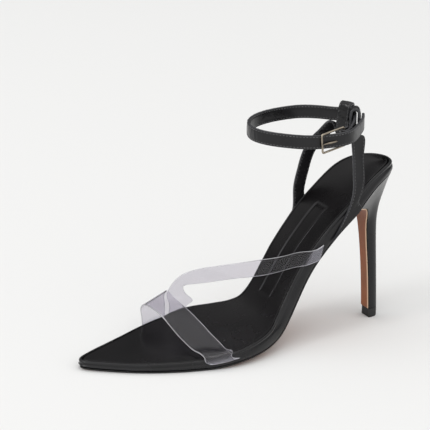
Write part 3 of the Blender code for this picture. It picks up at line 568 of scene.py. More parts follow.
# Metal, rubber or thread: clouds of colour and shine, and a very fine roughness
def plainFinish(name, look):
    material, tree, shader = newFinish(name)
    colour, shine = drifting(tree, look, noisy(tree, look["cloudScale"], 4.0))
    fine = bumped(tree, noisy(tree, look["fineScale"], 3.0), look["fineStrength"], 0.05)
    feed(tree, shader, Base_Color=colour, Roughness=shine, Normal=fine, Metallic=look["metallic"])
    return material


coatRoughness = 0.12
looks = {
    "blackLeather": {
        # edge: colour of the painted highlights on the rim's roll and the heel's back, and of the straps' paler
        # edges
        "dark": (0.0055, 0.0054, 0.0061), "light": (0.012, 0.0116, 0.013), "edge": (0.045, 0.045, 0.05),
        "edgeToneAndHighlightShare": 0.8, "roughness": (0.24, 0.34), "cloudScale": 45.0, "grainScale": 1500.0, "grainStrength": 0.25,
        "creaseScale": 120.0, "creaseStrength": 0.10, "specular": 0.24, "coat": 0.16,
    },
    "sockLeather": {
        # edge: colour of the painted highlight beside the insole's panel line
        "dark": (0.003, 0.0026, 0.003), "light": (0.006, 0.0052, 0.0058), "edge": (0.10, 0.10, 0.105),
        "edgeToneAndHighlightShare": 0.6, "roughness": (0.20, 0.30), "cloudScale": 30.0, "grainScale": 1300.0, "grainStrength": 0.12,
        "creaseScale": 60.0, "creaseStrength": 0.10, "specular": 0.20, "coat": 0.0,
    },
    "tanLeather": {
        "dark": (0.26, 0.093, 0.038), "light": (0.37, 0.130, 0.055), "edge": (0.66, 0.47, 0.33), "edgeToneAndHighlightShare": 1.0,
        "roughness": (0.40, 0.52), "cloudScale": 60.0, "grainScale": 1800.0, "grainStrength": 0.15,
        "creaseScale": 200.0, "creaseStrength": 0.05, "specular": 0.22, "coat": 0.0,
    },
    "soleLeather": {
        "dark": (0.28, 0.104, 0.045), "light": (0.38, 0.150, 0.070), "edge": (0.012, 0.012, 0.013), "edgeToneAndHighlightShare": 1.0,
        "roughness": (0.45, 0.6), "cloudScale": 60.0, "grainScale": 1800.0, "grainStrength": 0.15,
        "creaseScale": 200.0, "creaseStrength": 0.05, "specular": 0.35, "coat": 0.0,
    },
    # The thread is black; its light grey colour is painted glints along the seams
    "threadWithPaintedGlints": {
        "dark": (0.08, 0.08, 0.083), "light": (0.13, 0.13, 0.135), "roughness": (0.45, 0.6),
        "cloudScale": 300.0, "fineScale": 6000.0, "fineStrength": 0.3, "metallic": 0.0,
    },
    "clearPlastic": {
        "tint": (0.73, 0.71, 0.76), "gluedTint": (0.66, 0.65, 0.71), "edgeTint": (0.66, 0.66, 0.69),
        "ior": 1.33, "waveScale": 70.0, "waveStrength": 0.06, "roughness": 0.05, "edgeCloud": 0.60,
        "gluedCloud": 0.14, "cloudRoughness": 0.35, "shadow": (0.86, 0.86, 0.88),
        "haze": 0.0,            # share of milky scatter in the clear part
    },
    "buckleMetal": {
        "dark": (0.17, 0.14, 0.11), "light": (0.40, 0.35, 0.28), "roughness": (0.12, 0.22), "cloudScale": 180.0,
        "fineScale": 4000.0, "fineStrength": 0.05, "metallic": 1.0,
    },
    "blackRubber": {
        "dark": (0.008, 0.008, 0.008), "light": (0.016, 0.016, 0.016), "roughness": (0.5, 0.7),
        "cloudScale": 200.0, "fineScale": 3000.0, "fineStrength": 0.2, "metallic": 0.0,
    },
}
blackLeather, sockLeather, tanLeather, soleLeather = (
    leatherFinish(name, looks[name]) for name in ("blackLeather", "sockLeather", "tanLeather", "soleLeather"))
clearPlastic = clearFinish("clearPlastic", looks["clearPlastic"])
threadWithPaintedGlints, buckleMetal, blackRubber = (
    plainFinish(name, looks[name]) for name in ("threadWithPaintedGlints", "buckleMetal", "blackRubber"))
print("finishes:", len(looks))

# Footbed: the board in its leather wrap, with a rolled rim
footbed = {
    "boardBottom": 1.6,     # mm above the floor line: outsole and gap
    "rimWidth": 1.5,
    "rimDepth": 2.0,
    "wallSwell": 0.25,      # how far the wrapped wall stands out half way up
    "rimGroove": 0.24,      # depth of the shallow groove under the rolled rim
    "waviness": 0.05,       # of the wrap, over this wavelength
    "wavelength": 14,
    "highlightHeight": 0.35,         # height of the painted highlight, a paler line along the roll's top
    "rows": 230,
}


def buildFootbed():
    f = footbed
    rim = f["rimWidth"]
    # Columns: margin from the outline, height, share of the wall
    rings = [
        (0.73 * rim, f["boardBottom"], 0), (0.23 * rim, f["boardBottom"] + 0.3 * rim, 0),
        (-f["wallSwell"], 0, 0.42), (-0.1 * rim, -2.2 * rim, 1), (f["rimGroove"], -1.45 * rim, 1),
        (0, -0.8 * rim, 1), (0.17 * rim, -0.3 * rim, 1), (0.55 * rim, 0, 1), (rim, -0.3 * rim, 1),
        (1.23 * rim, -f["rimDepth"], 1),
    ]
    loop = soleLoop(rings, 9, 21, 0, 1)
    s, y, n = soleSurface(np.linspace(0, lastRow, f["rows"]), loop)
    sides = np.abs(loop[:, 3]) == 1
    n = n + f["waviness"] * unevenness(s, n * 3 + y * 0.2, f["wavelength"], 3) * sides
    # Painted highlight: a paler line along the roll's top
    edgeToneAndHighlight = np.exp(-(n / f["highlightHeight"]) ** 2) * sides
    mesh = meshFromLoops("footbedWrap", bendToLast(s, y, n), False, False, {"edgeToneAndHighlight": edgeToneAndHighlight})
    dress(mesh, blackLeather, ["footbed"])


buildFootbed()
print("footbed: wrapped")

# Insole: padded sock with a turned edge and a blind-stitched panel along the middle
insole = {
    "thickness": 1.6,
    "margin": 2.5,          # from the outside of the wall
    "panelFrom": 52.0,      # stations of the stitched panel, mm along the last
    "panelTo": 118.0,
    "panelHalfWidth": 6.0,
    "panelMiddle": -3.0,
    "channel": 0.42,        # depth and half width of the stitched line
    "channelReach": 0.55,
    "highlightAt": 0.6,         # painted highlight beside the line: its place and half width
    "highlightReach": 0.35,
    "waviness": 0.06,       # of the padding, over this wavelength
    "wavelength": 22,
    "rows": 330,
}


def buildInsole():
    i = insole
    low = -footbed["rimDepth"] + last["gap"]
    thick, margin = i["thickness"], i["margin"]
    rings = [(margin + 0.3 * thick, low, 1), (margin, low + 0.3 * thick, 1), (margin, low + 0.7 * thick, 1),
             (margin + 0.4 * thick, low + thick, 1)]
    bottomCount, topCount = 15, 75
    loop = soleLoop(rings, bottomCount, topCount, 1, 1, 4)
    s, y, n = soleSurface(np.linspace(0, lastRow, i["rows"]), loop)
    top = np.zeros(len(loop))
    topFirst = bottomCount + (len(loop) - bottomCount - topCount) // 2
    top[topFirst:topFirst + topCount] = 1
    halfLong = (i["panelTo"] - i["panelFrom"]) / 2
    beyondX = np.abs(s - i["panelFrom"] - halfLong) - halfLong
    beyondY = np.abs(y - i["panelMiddle"]) - i["panelHalfWidth"]
    outside = np.hypot(np.maximum(beyondX, 0), np.maximum(beyondY, 0))
    outside = outside + np.minimum(np.maximum(beyondX, beyondY), 0)
    n = n - top * i["channel"] * np.exp(-(outside / i["channelReach"]) ** 2)
    n = n + top * i["waviness"] * unevenness(s, y, i["wavelength"], 8)
    # Painted highlight: a paler band beside the stitched line
    edgeToneAndHighlight = top * np.exp(-((outside - i["highlightAt"]) / i["highlightReach"]) ** 2)
    mesh = meshFromLoops("insoleSock", bendToLast(s, y, n), False, False, {"edgeToneAndHighlight": edgeToneAndHighlight})
    dress(mesh, sockLeather, ["insole"])


buildInsole()
print("insole: laid in")

# Outsole: thin tan leather with dark painted edges
outsole = {"thickness": 1.3, "edgeInset": 0.6, "breastAt": 25.0, "rows": 200}


def rowAt(x):
    return np.interp(stationAt(x), denseOutline[:, 0], np.linspace(0, lastRow, len(denseOutline)))


def buildOutsole():
    t, edge = outsole["thickness"], outsole["edgeInset"]
    rings = [(edge + 0.54 * t, 0, 0), (edge + 0.15 * t, 0.3 * t, 0), (edge, 0.8 * t, 0), (edge + 0.3 * t, t, 0)]
    loop = soleLoop(rings, 25, 9, 0, 0, 3)
    start = rowAt(outsole["breastAt"] + last["gap"])
    s, y, n = soleSurface(np.linspace(start, lastRow, outsole["rows"]), loop)
    inked = np.maximum(loop[:, 1] > 0.01, np.clip(1 - (1 - np.abs(loop[:, 3])) / 0.03, 0, 1))
    mesh = meshFromLoops("outsoleLeather", bendToLast(s, y, n), True, False, {"edgeToneAndHighlight": inked})
    dress(mesh, soleLeather, ["outsole"])


buildOutsole()
print("outsole: laid under")

# Heel: D-shaped stiletto shaft that flares into the seat
heel = {
    "tipHeight": 6.3,
    "shaftWidth": 9.0,
    "shaftDepth": 8.8,
    "coverThickness": 0.8,
    "coverRound": 0.35,     # radius of the facing's edges
    "coverMargin": 0.02,    # share of the breast left free at each side
    "inset": 0.5,           # seat of the heel from the outside of the wall
    "turn": 106,            # degrees from the back of the shaft round to a breast corner
    "sideSteps": 34,
    "frontSteps": 10,
    "levels": 90,
}
# Columns: share of the seat height, front and back as shares of the depth, half width and flare of the breast
# corners as shares of the width, share of the seat outline
heelRows = np.array([
    (0.066, 0.5, -0.38, 0.51, 0, 0), (0.3, 0.65, -0.25, 0.51, 0, 0), (0.5, 0.86, -0.13, 0.52, 0, 0),
    (0.64, 1.01, -0.06, 0.55, 0.05, 0.01), (0.71, 1.06, -0.08, 0.58, 0.2, 0.04),
    (0.755, 1.12, -0.14, 0.61, 0.38, 0.13), (0.778, 1.18, -0.22, 0.62, 0.46, 0.3),
    (0.785, 1.22, -0.22, 0.62, 0.46, 0.55), (0.8, 1.22, -0.22, 0.62, 0.46, 0.8),
    (0.8, 1.22, -0.22, 0.62, 0.46, 1),
])


# Loops of the heel: half a rounded D from back to breast corner, mirrored, blended into the seat's outline
def heelLoops(levels):
    sideSteps, frontSteps = heel["sideSteps"], heel["frontSteps"]
    share, front, back, width, flare, spread = cubicAt(np.arange(len(heelRows)), heelRows, levels).T[:, :, None]
    across = np.linspace(0, 1, frontSteps + 1)[1:-1, None]
    outline = outlineAt(np.linspace(0, rowAt(outsole["breastAt"]), sideSteps + 1))
    inset = heel["inset"]
    middle = pathS[-1] / 2
    s = outline[:, 0] + inset * np.abs((outline[:, 0] - middle) / middle) ** 5
    seatOuter, seatInner = (bendToLast(s, way * drawnIn(outline[:, column], inset, inset), outsole["thickness"])
                            for way, column in ((1, 1), (-1, 2)))
    seatFront = seatOuter[-1] * (1 - across) + seatInner[-1] * across
    seat = np.vstack([seatOuter, seatFront, seatInner[:0:-1]])
    turn = np.radians(np.linspace(0, heel["turn"], sideSteps + 1))
    deep = (1 - np.cos(turn)) / (1 - np.cos(turn[-1]))
    wide = np.sin(turn) ** 0.85
    x = (back + (front - back) * deep) * heel["shaftDepth"]
    y = (wide * width + flare * deep ** 3) * heel["shaftWidth"]
    z = share * last["seatHeight"] + 0 * x
    side = np.stack([x, y, z], axis=-1)
    corner = side[:, -1:]
    face = corner * (1 - across) + corner * [1, -1, 1] * across
    shaft = np.concatenate([side, face, (side * [1, -1, 1])[:, :0:-1]], axis=1)
    return shaft * (1 - spread[..., None]) + seat * spread[..., None]


def heelBody():
    loops = heelLoops(np.linspace(0, len(heelRows) - 1, heel["levels"]))
    loops[0, :, 2] = heel["tipHeight"] + last["gap"]
    return loops


def buildHeel():
    loops = heelBody()
    floorLoop = loops[0] * [1, 0, 1]
    inwards = np.linspace(0.75, 0, 4)[:, None, None]
    lid = loops[-1] * [1, 0, 1] + (loops[-1] * [0, 1, 0]) * inwards
    loops = np.concatenate([floorLoop[None], loops, lid])
    around = np.arange(loops.shape[1])
    # Painted highlight: a paler line down the back of the shaft
    mesh = meshFromLoops("heelCover", loops, False, False, {"edgeToneAndHighlight": 0.25 * (around == 0)}, 42)
    dress(mesh, blackLeather, ["heel"])


# Tan facing on the breast: the heel's front face drawn in at both sides and lifted off by half its thickness
def buildBreast():
    face = heelBody()[:-2, heel["sideSteps"]:heel["sideSteps"] + heel["frontSteps"] + 1]
    margin = heel["coverMargin"]
    outer = face[:, 0] * (1 - margin) + face[:, -1] * margin
    inner = face[:, -1] * (1 - margin) + face[:, 0] * margin
    out = unit(np.cross(np.gradient((outer + inner) / 2, axis=0), inner - outer))
    out = out * np.sign(out[:1, :1])
    share = easedShares(21)[None, :, None]
    grid = outer[:, None] * (1 - share) + inner[:, None] * share
    grid = grid + out[:, None] * (last["gap"] + heel["coverThickness"] / 2)
    grid = throughRows(grid, 120)
    band, _, _, _, fromEdge = bandLoops(grid, heel["coverThickness"], heel["coverRound"], heel["coverRound"])
    # Its edges are painted paler on the outer side only
    mesh = meshFromLoops("breastFacing", band, True, True, paleEdges(fromEdge, grid[..., 1] > 0))
    dress(mesh, tanLeather, ["heel_breast"])


# Top piece: the shaft's outline, drawn in round its lower edge
def buildTip():
    loop = heelLoops(np.array([0.0]))[0]
    middle = np.array([loop[:, 0].mean(), 0, 0])
    high = heel["tipHeight"]
    rows = [(0.0, 0.0), (0.90, 0.0), (0.955, 0.05), (0.99, 0.25), (1.0, 0.6), (1.0, high - 0.5),
            (0.985, high - 0.12), (0.95, high), (0.0, high)]
    share, z = np.array(rows).T[:, :, None]
    flat = middle + (loop - middle)[None] * share[..., None]
    flat[..., 2] = z
    mesh = meshFromLoops("heelTopPiece", flat, False, False, None, 35)
    dress(mesh, blackRubber, ["heel_tip"])


buildHeel()
buildBreast()
buildTip()
print("heel: shaft, facing and top piece")

# Bands: control rows across, then splines along
bandShare = easedShares(25)[:, None]


def acrossRow(edgeA, edgeB, share=bandShare):
    return np.asarray(edgeA, float) * (1 - share) + np.asarray(edgeB, float) * share


# Row on the wall: station and height vary evenly from one edge to the other
def wallRow(side, out, endA, endB, share=bandShare):
    x, n = acrossRow(endA, endB, share).T
    return onWall(x, side, out, n)


clearBand = {
    "thickness": 1.0,
    "edgeRound": 0.3,
    "out": 0.83,            # middle of a band from the wall
    "grip": 4.5,            # height of a glued end
    "rimStart": 0.3,
    "rimClearance": 1.0,
    "rimReach": 6.0,
}


# Points near the wall are lifted to the rim's height plus a clearance, found under the point's own x
def overRim(row):
    side = np.sign(row[:, 1])
    at = row[:, 0].copy()
    for _ in range(8):
        rim = onWall(at, side, 0, wallAt(stationAt(at)) + clearBand["rimClearance"])
        at = at + row[:, 0] - rim[:, 0]
    near = np.abs(row[:, 1] - rim[:, 1]) < clearBand["rimReach"]
    lifted = row.copy()
    lifted[:, 2] = np.where(near, np.maximum(row[:, 2], rim[:, 2]), row[:, 2])
    return lifted


# Two rows of a band on the wall: its glued end, and where it leaves the wall at the rim, a little further
# forward
def wallEnd(side, xA, xB, slantA=0.0, slantB=0.0):
    b = clearBand
    rimA, rimB = (float(wallAt(stationAt(x))) - b["rimStart"] for x in (xA + slantA, xB + slantB))
    return [wallRow(side, b["out"], (xA, b["grip"]), (xB, b["grip"])),
            wallRow(side, b["out"], (xA + slantA, rimA), (xB + slantB, rimB))]


# Mesh of a clear band: cut edges and glued ends are painted where the cloudy finish goes
def bandPiece(name, grid, gluedEnds, node):
    b = clearBand
    loops, _, _, along, fromEdge = bandLoops(grid, b["thickness"], b["edgeRound"], b["edgeRound"])
    cut = np.exp(-(fromEdge / 0.28) ** 4)
    ends = (along, along[-1] - along)
    glued = sum(1 / (1 + np.exp((away - reach) / 0.5)) for away, reach in zip(ends, gluedEnds)) + 0 * cut
    cut = np.maximum(cut, np.exp(-(np.minimum(*ends) / 0.5) ** 4) + 0 * cut)
    mesh = meshFromLoops(name, loops, True, True, {"cutEdge": bothFaces(cut), "glued": bothFaces(glued)}, 40)
    dress(mesh, clearPlastic, [node])


toeBand = {"rise": 25.5, "outer": (119.5, 137.5), "inner": (133.9, 153.5), "slant": (5.6, 5.2), "rows": 150}
# Columns: share of the half width, heights of the front and rear edge as shares of the rise
toeBandRows = [
    (0.9, 0.385, 0.425), (0.68, 0.375, 0.455), (0.45, 0.425, 0.535), (0.2, 0.515, 0.64),
    (-0.05, 0.64, 0.735), (-0.32, 0.775, 0.825), (-0.6, 0.84, 0.89), (-0.82, 0.845, 0.96),
    (-0.97, 0.805, 0.99), (-1.06, 0.69, 0.85), (-1.05, 0.51, 0.59),
]


def buildToeBand():
    t = toeBand
    rows = wallEnd(1, *t["outer"], *t["slant"])
    rim = [x + slant for x, slant in zip(t["outer"], t["slant"])]
    rows.append(overRim(wallRow(1, 0, *((x, 0) for x in rim))))
    for way, front, rear in toeBandRows:
        ends = []
        for outerX, innerX, height in zip(rim, t["inner"], (rear, front)):
            x = outerX + (innerX - outerX) * (1 - way) / 2
            ends.append((x, float(halfWidthAt(stationAt(x), way)) * way, height * t["rise"]))
        rows.append(overRim(acrossRow(*ends)))
    rows += wallEnd(-1, *t["inner"])[::-1]
    bandPiece("toeBandClear", throughRows(rows, t["rows"]), (5.5, 3.0), "toe_strap")


archBand = {
    "rise": 62.0, "inner": (130.5, 118.0), "outer": (47.5, 53.3), "start": (124.6, -40.5),
    "finish": (62.0, 25.0), "endReach": 4.6, "rows": 190,
}
# Columns: share of the way on the floor plan, then for the upper and the lower edge the offset against the
# toe's direction as a share of the way, and the height as a share of the rise
archBandRows = [
    (-0.02, -0.06, 0.225, 0.128, 0.225), (-0.035, -0.065, 0.33, 0.098, 0.305),
    (-0.03, -0.035, 0.436, 0.066, 0.378), (0.01, -0.015, 0.537, 0.034, 0.432), (0.09, 0, 0.62, 0.01, 0.468),
    (0.23, 0, 0.692, 0, 0.52), (0.43, 0, 0.771, 0, 0.6), (0.645, 0, 0.858, 0, 0.679),
    (0.81, 0, 0.932, -0.015, 0.768), (0.93, 0, 0.995, -0.035, 0.835),
]
# Columns: share of the end's reach, drop of the upper and of the lower edge below the rim as shares of the wall
archBandEndRows = [(1.0, -0.05, 0.13), (0.0, 0.42, 0.90)]


def buildArchBand():
    a = archBand
    start, finish = np.array(a["start"]), np.array(a["finish"])
    way = finish - start
    rows = wallEnd(-1, *a["inner"])
    for share, upperShift, upperHeight, lowerShift, lowerHeight in archBandRows:
        ends = []
        for shift, height in ((upperShift, upperHeight), (lowerShift, lowerHeight)):
            plan = start + way * share - np.array([shift * np.linalg.norm(way), 0])
            ends.append((*plan, height * a["rise"]))
        rows.append(overRim(acrossRow(*ends)))
    rear, front = a["outer"]
    rim = float(wallAt(stationAt(rear)))
    for share, *drops in archBandEndRows:
        ends = [(x + share * a["endReach"], rim - drop * last["wallHeight"])
                for x, drop in zip((rear, front), drops)]
        rows.append(wallRow(1, clearBand["out"], *ends))
    bandPiece("archBandClear", throughRows(rows, a["rows"]), (3.0, 9.0), "arch_strap")


buildToeBand()
buildArchBand()
print("bands: toe and arch")

# Ankle strap, in mm and degrees round its loop: 0 at the front, 90 on the outer side
ankle = {
    "thickness": 1.8, "width": 9.0, "height": 137.6, "centre": 50.0, "front": 43.0, "rear": 30.3, "half": 28.6,
    "pinch": 0.5, "tilt": 0.08, "rearLift": 3.2, "hingeAt": 107.5, "tipBarAt": 77.5, "hingeOut": -1.0,
    "edgeRound": 0.55, "endRound": 0.5, "stitchInset": 1.15, "stitchPitch": 2.1, "rows": 620,
    "spareHoleAt": 65.0, "spareHoleRadius": 0.95, "spareHoleDepth": 1.1,     # punched hole before the buckle
    "tipLength": 6.0,       # of the rounded free end
    "wrinkle": 0.27,        # height of the lining's wrinkles in front, over this wavelength
    "wrinkleLength": 3.2,
}
# Length as a share of the pitch, the rest in mm
stitch = {"length": 0.72, "width": 0.42, "height": 0.34, "sunk": 0.1, "seamReach": 0.45}
# Faces of the straps, in mm. Columns: swell between the seams, depth of the seams, height and length of the
# waves
ankleOutside, ankleLining = (0.10, 0.14, 0.03, 9), (0.00, 0.10, 0.04, 6)
sideOutside, sideLining = (0.16, 0.14, 0.04, 8), (0.16, 0.12, 0.10, 3)
ankleLiftRows = np.array([
    (-40, 0), (0, 0), (50, 0), (77, -0.18), (107, 0.18), (125, 0.27), (140, 0.57), (158, 0.89), (180, 1),
    (200, 0.95), (215, 0.55), (230, 0.32), (250, 0.11), (270, 0), (300, 0), (350, 0), (400, 0),
])
buckle = {
    "wire": 1.3, "prong": 1.2, "corner": 1.0, "spare": 0.5, "tipDrop": 1.0, "frameRows": 260, "prongRows": 120,
    "hookGap": 0.2, "restGap": 0.15,    # between the prong and the hinge bar, and the tip bar
}
layer = ankle["thickness"] + last["gap"]
wrap = buckle["wire"] / 2 + last["gap"] + ankle["thickness"] / 2
foldLength = 9.0
loopSlack = 0.7
loopLean = math.radians(8)
sideWidth = 8.6
# Route of the strap beside the plain loop. Columns: degrees round the loop, offset outwards in layers of strap
foldedEndRows = [(121, -1.00), (116, -1.14)]
loopRows = [(115, 0.29), (124, 0.00)] + [(degrees, 0.0) for degrees in range(138, 409, 15)]
loopRows += [(423, 0.00), (432, -0.05), (438, -0.05), (446, 0.24), (457, 0.95)]
loopRows += [(ankle["hingeAt"] + 360, (wrap + ankle["hingeOut"]) / layer + 1)]
loopRows += [(478, 1.43), (490, 1.62), (500, 2.10), (508, 2.40), (518, 2.43), (524, 2.48), (529, 2.62)]


# Egg-shaped loop: half ellipses front and rear, pinched and lifted towards the back
def anklePlace(degrees):
    turn = np.radians(degrees)
    back = np.maximum(-np.cos(turn), 0)
    x = ankle["centre"] + np.where(np.cos(turn) > 0, ankle["front"], ankle["rear"]) * np.cos(turn)
    y = ankle["half"] * np.sin(turn) * (1 - ankle["pinch"] * back ** 2.5)
    lift = cubicAt(ankleLiftRows[:, 0], ankleLiftRows[:, 1], np.atleast_1d(degrees).ravel() % 360)[:, 0]
    z = ankle["height"] - ankle["tilt"] * y + ankle["rearLift"] * lift.reshape(np.shape(degrees))
    return np.stack([x, y, z], axis=-1)


def ankleFrame(degrees):
    degrees = np.asarray(degrees, float)
    run = unit((anklePlace(degrees + 0.5) - anklePlace(degrees - 0.5)) * [1, 1, 0])
    out = np.stack([run[..., 1], -run[..., 0], 0 * run[..., 0]], axis=-1)
    return anklePlace(degrees), out, run


# Buckle: from the hinge bar, under the strap, to the tip bar over it
def buckleAxes():
    hinge, hingeAway, _ = ankleFrame(ankle["hingeAt"])
    tip, tipAway, _ = ankleFrame(ankle["tipBarAt"])
    hinge = hinge + hingeAway * ankle["hingeOut"]
    forward = tip + tipAway * (ankle["thickness"] / 2 + last["gap"] + buckle["wire"] / 2) - hinge
    forward = forward - [0, 0, buckle["tipDrop"]]
    reach = np.linalg.norm(forward)
    forward = forward / reach
    away = np.array([forward[1], -forward[0], 0])
    away = away * np.sign(away[1]) / np.linalg.norm(away)
    up = np.cross(away, forward)
    return hinge, reach, forward, away, up * np.sign(up[2])


# Middle line of the strap: folded end inside, round the hinge bar, once round the ankle, back over the buckle
def anklePath():
    hinge, out, run = ankleFrame(ankle["hingeAt"])
    hinge = hinge + out * ankle["hingeOut"]
    angle = np.radians(np.arange(-80, 81, 20))[:, None]
    points = [hinge + wrap * (out * np.sin(angle) - run * np.cos(angle))]
    for rows in (foldedEndRows, loopRows):
        degrees, layers = np.array(rows).T
        place, away, _ = ankleFrame(degrees)
        points.append(place + away * layers[:, None] * layer)
    return np.vstack([points[1], points[0], points[2]])


# Relief of a strap's face: swollen in the middle, pressed in along both seams, with soft waves
def strapRelief(face, along, across, fromEdge, centred, inset, seed):
    swell, press, high, wavelength = face
    seam = np.exp(-((fromEdge - inset) / stitch["seamReach"]) ** 2)
    return swell * (1 - centred ** 2) - press * seam + high * unevenness(along, across, wavelength, seed)


# Leather strap with its stitches, at an inset from both edges and on both faces, from row first to row finish
def strapPiece(names, node, grid, reliefs, sizes, first, finish):
    thickness, inset, pitch = ankle["thickness"], sizes["stitchInset"], sizes["stitchPitch"]
    rounds = ankle["edgeRound"], ankle["endRound"]
    loops, normal, across, _, fromEdge = bandLoops(grid, thickness, *rounds, *reliefs)
    mesh = meshFromLoops(names[0], loops, paint=paleEdges(fromEdge), sharp=70)
    dress(mesh, blackLeather, [node])
    rows = []
    pick = np.arange(len(grid))
    for face in (-1, 1):
        for wanted in (np.full(len(across), inset), across[:, -1] - inset):
            index = np.argmin(np.abs(across - wanted[:, None]), axis=1)
            curve = grid[pick, index] + normal[pick, index] * (thickness / 2 - stitch["sunk"]) * face
            rows.append(threadRow(curve[first:finish], normal[first:finish, 0] * face, pitch,
                                  pitch * stitch["length"], stitch["width"], stitch["height"]))
    dress(threadMesh(names[1], rows), threadWithPaintedGlints)


def buildAnkleStrap():
    a = ankle
    middle = throughRows(anklePath()[:, None], a["rows"])[:, 0]
    hinge, _, _, _, up = buckleAxes()
    near = np.exp(-(np.linalg.norm(middle - hinge, axis=1) / (2 * foldLength)) ** 2)[:, None]
    rise = (up * near + np.array([0, 0, 1]) * (1 - near)) * a["width"] / 2
    reach = reachOf(middle)
    left = (reach[-1] - reach) / a["tipLength"]
    tip = np.sqrt(np.clip(1 - (1 - np.clip(left, 0, 1)) ** 2.4, 0.0, 1))[:, None, None]
    share = np.linspace(-1, 1, 31)[None, :, None]
    share = np.sign(share) * np.abs(np.sin(share * np.pi / 2))
    grid = middle[:, None] + rise[:, None] * share * np.maximum(tip, 0.12)
    along = reach[:, None] + 0 * share[..., 0]
    across = share[..., 0] * a["width"] / 2
    inFront = np.exp(-((along - reach[-1] * 0.44) / (reach[-1] * 0.16)) ** 4)
    spareHole = reach[np.argmin(np.linalg.norm(middle - anklePlace(a["spareHoleAt"]), axis=1))]
    pit = np.exp(-(np.hypot(along - spareHole, across) / a["spareHoleRadius"]) ** 6)
    wrinkle = inFront * a["wrinkle"] * unevenness(along, across * 0.25, a["wrinkleLength"], 12)
    place = (along, across, a["width"] / 2 - np.abs(across), across / (a["width"] / 2), a["stitchInset"])
    inside = strapRelief(ankleLining, *place, 21) + wrinkle
    outside = strapRelief(ankleOutside, *place, 5) - a["spareHoleDepth"] * pit
    strapPiece(("ankleStrapLeather", "ankleStrapStitches"), "ankle_strap", grid, (inside, outside), a, 60, -14)


buildAnkleStrap()
print("ankle strap: sewn")

# Side straps: flared base on the wall, rise, and the fold over the ankle strap
sideStraps = {
    "columns": 27, "rows": 300, "stitchInset": 1.2, "stitchPitch": 2.1,
    "probeRow": 20,         # row near the base where the grid's normal tells the outer face
}
# Columns of a base: share of the wall height, rear and front place as shares of the sole length from the seat
# Columns of a rise: shares of the way along X, Y and Z, half width and lift of the front edge in strap widths
outerStrap = {
    "side": 1, "loopAt": 156, "node": "side_strap_outer", "name": "sideStrapOuter", "seed": 31,
    "base": [(0.25, 0.154, 0.245), (0.50, 0.149, 0.217), (0.75, 0.1465, 0.195)],
    "rise": [(0.310, -0.03, 0.205, 0.42, -0.07), (0.460, 0.07, 0.409, 0.49, 0.02),
             (0.640, 0.36, 0.669, 0.50, 0.06), (0.830, 0.69, 0.836, 0.49, 0.09)],
}
innerStrap = {
    "side": -1, "loopAt": 201, "node": "side_strap_inner", "name": "sideStrapInner", "seed": 47,
    "base": [(0.25, 0.190, 0.277), (0.50, 0.190, 0.2585), (0.77, 0.192, 0.238)],
    "rise": [(-0.010, 0.00, 0.176, 0.49, -0.09), (0.080, 0.06, 0.378, 0.50, 0.05),
             (0.190, 0.17, 0.564, 0.50, 0.09), (0.370, 0.32, 0.704, 0.48, 0.19),
             (0.600, 0.52, 0.813, 0.45, 0.23), (0.830, 0.69, 0.883, 0.44, 0.23)],
}


def buildSideStrap(strap):
    side, thickness = strap["side"], ankle["thickness"]
    share = (np.sin(np.linspace(-1, 1, sideStraps["columns"]) * np.pi / 2)[:, None] + 1) / 2
    outWall = last["gap"] + thickness / 2
    rows = []
    for height, rear, front in strap["base"]:
        ends = [(x * last["soleLength"] - last["seatSetback"], height * last["wallHeight"])
                for x in (rear, front)]
        rows.append(wallRow(side, outWall, *ends, share))
    place, out, _ = ankleFrame(strap["loopAt"])
    foot = (rows[-1][0] + rows[-1][-1]) / 2
    for *way, half, lift in strap["rise"]:
        middle, width = foot + (place - foot) * way, np.array([half, 0, lift]) * sideWidth
        rows.append(acrossRow(middle - width, middle + width, share))
    run = -side * unit(anklePlace(strap["loopAt"] + 1.0) - anklePlace(strap["loopAt"] - 1.0))
    upwards = np.array([0, 0, 1])
    along = upwards * math.cos(loopLean) - run * math.sin(loopLean)
    width = (run * math.cos(loopLean) + upwards * math.sin(loopLean)) * sideWidth / 2
    high = ankle["width"] / 2 + sideWidth / 2 * math.tan(loopLean)
    top = high + last["gap"] + thickness / 2 + loopSlack
    inner, outer = layer + loopSlack, layer + loopSlack / 2
    # Columns: outwards, and along the strap from the middle of the ankle strap
    fold = [
        (-0.7 * layer, -top - 0.67 * foldLength), (-inner, -top + 0.18 * foldLength), (-inner, 0),
        (-inner, high - 0.4 * layer), (-0.55 * inner, top), (0.55 * outer, top), (outer, high - 0.4 * layer),
        (outer, 0), (outer, -high), (0.45 * layer, -top - 0.33 * foldLength), (0.36 * layer, -top - foldLength),
    ]
    for away, up in fold:
        point = place + out * away + along * up
        rows.append(acrossRow(point - width, point + width, share))
    grid = throughRows(rows, sideStraps["rows"])
    across = reachAcross(grid)
    centre = sideStraps["columns"] // 2
    length = reachOf(grid[:, centre])[:, None] + 0 * across
    place = (length, across, np.minimum(across, across[:, -1:] - across), across / across[:, -1:] * 2 - 1,
             sideStraps["stitchInset"])
    reliefs = [strapRelief(face, *place, strap["seed"] + more)
               for face, more in ((sideOutside, 0), (sideLining, 7))]
    if normalOf(grid)[sideStraps["probeRow"], centre, 1] * side < 0:
        reliefs = reliefs[::-1]
    names = (strap["name"], strap["name"] + "Stitches")
    strapPiece(names, strap["node"], grid, reliefs, sideStraps, 14, -8)


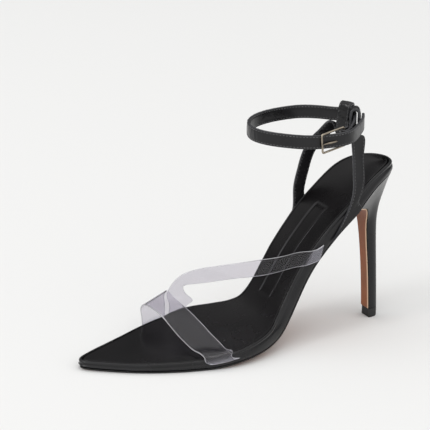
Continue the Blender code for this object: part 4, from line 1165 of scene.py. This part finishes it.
buildSideStrap(outerStrap)
buildSideStrap(innerStrap)
print("side straps: folded over the ankle strap")


# Columns: along the buckle as a share of its reach, outwards as a share of the strap's wrap
pinRows = [(0.200, 0.65), (0.310, 0.70), (0.400, 1.03), (0.510, 1.57), (0.665, 1.41)]


# Frame: rounded rectangle of wire. Prong: hooked round the hinge bar, through the strap, onto the tip bar
def buildBuckle():
    hinge, reach, forward, away, up = buckleAxes()
    wire, prong, corner = buckle["wire"] / 2, buckle["prong"] / 2, buckle["corner"]
    high = ankle["width"] / 2 + last["gap"] + wire + buckle["spare"]
    angle = np.radians(np.linspace(0, 90, 9))
    points = []
    for middle, ahead, first in ((hinge + forward * reach, forward, -1), (hinge, -forward, 1)):
        for end, turn in ((first, angle), (-first, np.pi / 2 - angle)):
            centre = middle + up * (high - corner) * end - ahead * corner
            points.append(centre + corner * (ahead * np.sin(turn)[:, None] + up * end * np.cos(turn)[:, None]))
    path = np.vstack([*points, points[0][:1]])
    length = reachOf(path)
    path = pointsAt(np.linspace(0, length[-1], buckle["frameRows"], endpoint=False), length, path)
    mesh = meshFromLoops("buckleFrameWire", wireLoops(path, wire, True), False, False)
    dress(mesh, buckleMetal, ["buckle_frame"])
    turn = np.radians(np.arange(-120, 61, 15))[:, None]
    hook = hinge + (wire + prong + buckle["hookGap"]) * (away * np.sin(turn) - forward * np.cos(turn))
    over = wire + prong + buckle["restGap"]
    rows = [(share * reach, out * wrap) for share, out in pinRows]
    rows += [(reach - 2 * prong, over), (reach + 1.6 * prong, over)]
    ahead, out = np.array(rows).T[:, :, None]
    points = np.vstack([hook, hinge + forward * ahead + away * out])
    path = throughRows(points[:, None], buckle["prongRows"])[:, 0]
    fromTip = np.linspace(0.02, 14, buckle["prongRows"])[::-1]
    radius = prong * np.sqrt(np.clip(fromTip / 3, 0.02, 1))
    mesh = meshFromLoops("bucklePin", wireLoops(path, radius, False))
    dress(mesh, buckleMetal, ["buckle_prong"])


buildBuckle()
print("buckle: frame and pin")
